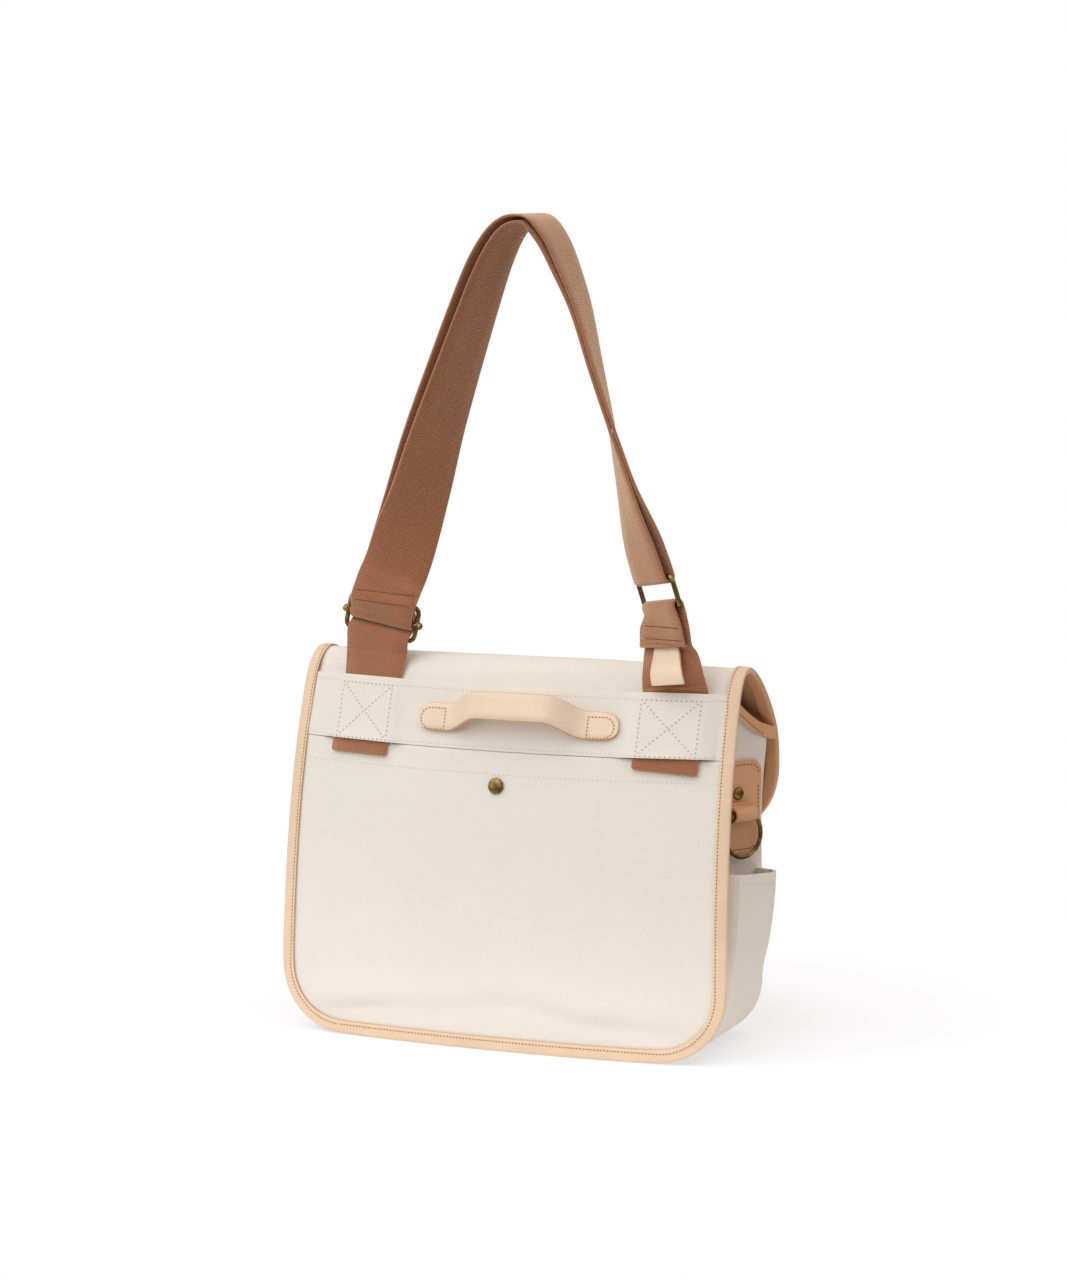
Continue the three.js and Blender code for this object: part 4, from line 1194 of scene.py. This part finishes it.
def patchRays():
    low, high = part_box("side_patch_right")
    inset = sideSeam["patchInset"]
    corner = sideSeam["patchCorner"]
    middleY = (low.y + high.y) / 2
    halfY = (high.y - low.y) / 2 - inset - sideSeam["patchEase"]
    middleZ = (low.z + high.z) / 2
    halfZ = (high.z - low.z) / 2 - inset
    outline = []
    for startAngle, signY, signZ in ((0, 1, 1), (90, -1, 1), (180, -1, -1), (270, 1, -1)):
        for angle in spread(startAngle, startAngle + 90, sideSeam["patchPoints"]):
            turn = math.radians(angle)
            y = middleY + signY * (halfY - corner) + corner * math.cos(turn)
            z = middleZ + signZ * (halfZ - corner) + corner * math.sin(turn)
            outline.append((y, z))
    outline.append(outline[0])
    return [((sideFar, y, z), (-1, 0, 0)) for y, z in dense(outline, sideSeam["patchParts"])]


def rimRays():
    use = sideSeam
    first, last = use["rimSpan"]
    rays = []
    for y in spread(first, last, use["points"]):
        share = (y - first) / (last - first)
        z = use["rimBack"] + (use["rimFront"] - use["rimBack"]) * share - use["rimDrop"]
        rays.append(((sideFar, y, z), (-1, 0, 0)))
    return rays


def mouthRays():
    use = sideSeam
    first, last = use["mouthSpan"]
    rays = []
    for y in spread(first, last, use["points"]):
        share = use["mouthStart"] + (1 - use["mouthStart"]) * (y - first) / (last - first)
        z = use["mouthBack"] + (use["mouthFront"] - use["mouthBack"]) * share ** use["mouthCurve"]
        rays.append(((sideFar, y, z - use["mouthDrop"]), (-1, 0, 0)))
    return rays


mouthSurface = surfaceOf("mouth_binding")
frontHeight = sideSeam["mouthFront"] - sideSeam["mouthDrop"]
sew("mouthStitches", "patch", [
    hits(mouthSurface, mouthRays()),
    hits(mouthSurface, mirrored(mouthRays())),
    alongX(mouthSurface, -sideSeam["mouthHalf"], sideSeam["mouthHalf"], frontHeight, 1)])
sew("patchStitches", "patch", [
    hits(surfaceOf("side_patch_right"), patchRays()),
    hits(surfaceOf("side_patch_left"), mirrored(patchRays()))])
sew("sidePocketStitches", "hem", [
    hits(surfaceOf("side_pocket_right"), rimRays()),
    hits(surfaceOf("side_pocket_left"), mirrored(rimRays()))])


# Strap: two rows over the slider, two across the folded anchor
strapSeam = {
    "rows": (326 * mm, 333.5 * mm),
    "west": -124 * mm,
    "lean": 0.3,                     # how far the webbing's edge moves as it rises
    "width": 43 * mm,
    "tilt": -0.1,
    "foldRows": (15 * mm, 24.5 * mm),
    "foldTilt": 0.07,
    "foldHalf": 21 * mm,
    "foldFar": 0.1,
    "foldPoints": 24,
}
strapSurface = surfaceOf("strap_webbing")
strapRuns = []
for z in strapSeam["rows"]:
    west = strapSeam["west"] + (z - strapSeam["rows"][0]) * strapSeam["lean"]
    strapRuns.append(alongX(strapSurface, west, west + strapSeam["width"], z, -1, strapSeam["tilt"]))
foldSurface = surfaceOf("right_anchor_webbing")
for past in strapSeam["foldRows"]:
    centre = foldSet["centre"] + foldSet["travel"] * past - foldSet["inward"] * strapSeam["foldFar"]
    level = foldSet["across"] + foldSet["travel"] * strapSeam["foldTilt"]
    rays = [(centre + level * s, foldSet["inward"])
            for s in spread(-strapSeam["foldHalf"], strapSeam["foldHalf"], strapSeam["foldPoints"])]
    strapRuns.append(hits(foldSurface, rays))
sew("strapStitches", "webbing", strapRuns)


# Floor, light and camera
stageSet = {
    "floor": 1.1,
    "floorTint": (0.5, 0.5, 0.5, 1.0),
    "floorRough": 0.9,
    "floorGlow": 0.48,
    "floorGlowTint": (0.97, 0.97, 1.0, 1.0),
    "skyLow": 0.36,                  # at the horizon
    "skyRise": 0.6,                  # more overhead
    "skyUnder": 0.1,                 # beyond the floor
    "horizon": (-0.05, 0.05),
    "skyTint": (1.0, 0.9, 0.85, 1.0),
    "backdrop": (1.0, 1.0, 1.0, 1.0),
    "lights": {
        "softKey": {"energy": 1.95, "from": Vector((-0.42, -0.68, 0.6)), "angle": 75},
        "softFill": {"energy": 0.6, "from": Vector((0.6, -0.1, 0.8)), "angle": 80},
    },
    "lightTint": (0.81, 0.94, 1.0),
    "lightFar": 3,
    "azimuth": 22.0,
    "elevation": 7.72,
    "distance": 2.814,
    "aim": Vector((10.8, -21.06, 299.0)) * mm,
    "sensor": 36,
    "focal": 3810 / 1067,            # in widths of the picture
    "clipEnd": 100,
}
deselect()
bpy.ops.mesh.primitive_plane_add(size=stageSet["floor"])
floor = bpy.context.active_object
floor.name = "floor"
floorLook, floorMaker = newLook("paleFloor")
finishLook(floorLook, floorMaker, stageSet["floorTint"], stageSet["floorRough"], fixed={
    "Specular IOR Level": 0.0, "Emission Color": stageSet["floorGlowTint"],
    "Emission Strength": stageSet["floorGlow"]})
floor.data.materials.append(floorLook)

world = bpy.data.worlds.new("studio")
world.use_nodes = True
scene.world = world
worldMaker = Wire(world.node_tree)
seen = worldMaker.node("ShaderNodeLightPath", out="Is Camera Ray")
sky = world.node_tree.nodes["Background"]
direction = worldMaker.node("ShaderNodeTexCoord", out="Generated")
height = worldMaker.node("ShaderNodeSeparateXYZ", None, {0: direction}, "Z")
dome = height.math("MAXIMUM", height, 0.0) * stageSet["skyRise"]
above = height.step(*stageSet["horizon"])
dome = dome + above * (stageSet["skyLow"] - stageSet["skyUnder"]) + stageSet["skyUnder"]
glow = seen + (1 - seen) * dome
world.node_tree.links.new(glow.socket, sky.inputs["Strength"])
skyTint = seen.mix(stageSet["skyTint"], stageSet["backdrop"])
world.node_tree.links.new(skyTint.socket, sky.inputs["Color"])

for name, use in stageSet["lights"].items():
    bpy.ops.object.light_add(type="SUN", location=use["from"] * stageSet["lightFar"])
    light = bpy.context.active_object
    light.name = name
    light.data.energy = use["energy"]
    light.data.color = stageSet["lightTint"]
    light.data.angle = math.radians(use["angle"])
    light.rotation_euler = use["from"].to_track_quat("Z", "Y").to_euler()

turn = math.radians(stageSet["azimuth"])
rise = math.radians(stageSet["elevation"])
back = Vector((math.sin(turn) * math.cos(rise), -math.cos(turn) * math.cos(rise), math.sin(rise)))
bpy.ops.object.camera_add(location=stageSet["aim"] + back * stageSet["distance"])
camera = bpy.context.active_object
camera.rotation_euler = back.to_track_quat("Z", "Y").to_euler()
camera.data.sensor_fit = "HORIZONTAL"
camera.data.sensor_width = stageSet["sensor"]
camera.data.lens = stageSet["focal"] * stageSet["sensor"]
camera.data.clip_end = stageSet["clipEnd"]
scene.camera = camera
scene.view_settings.view_transform = "Standard"
print("stage set")

deselect()
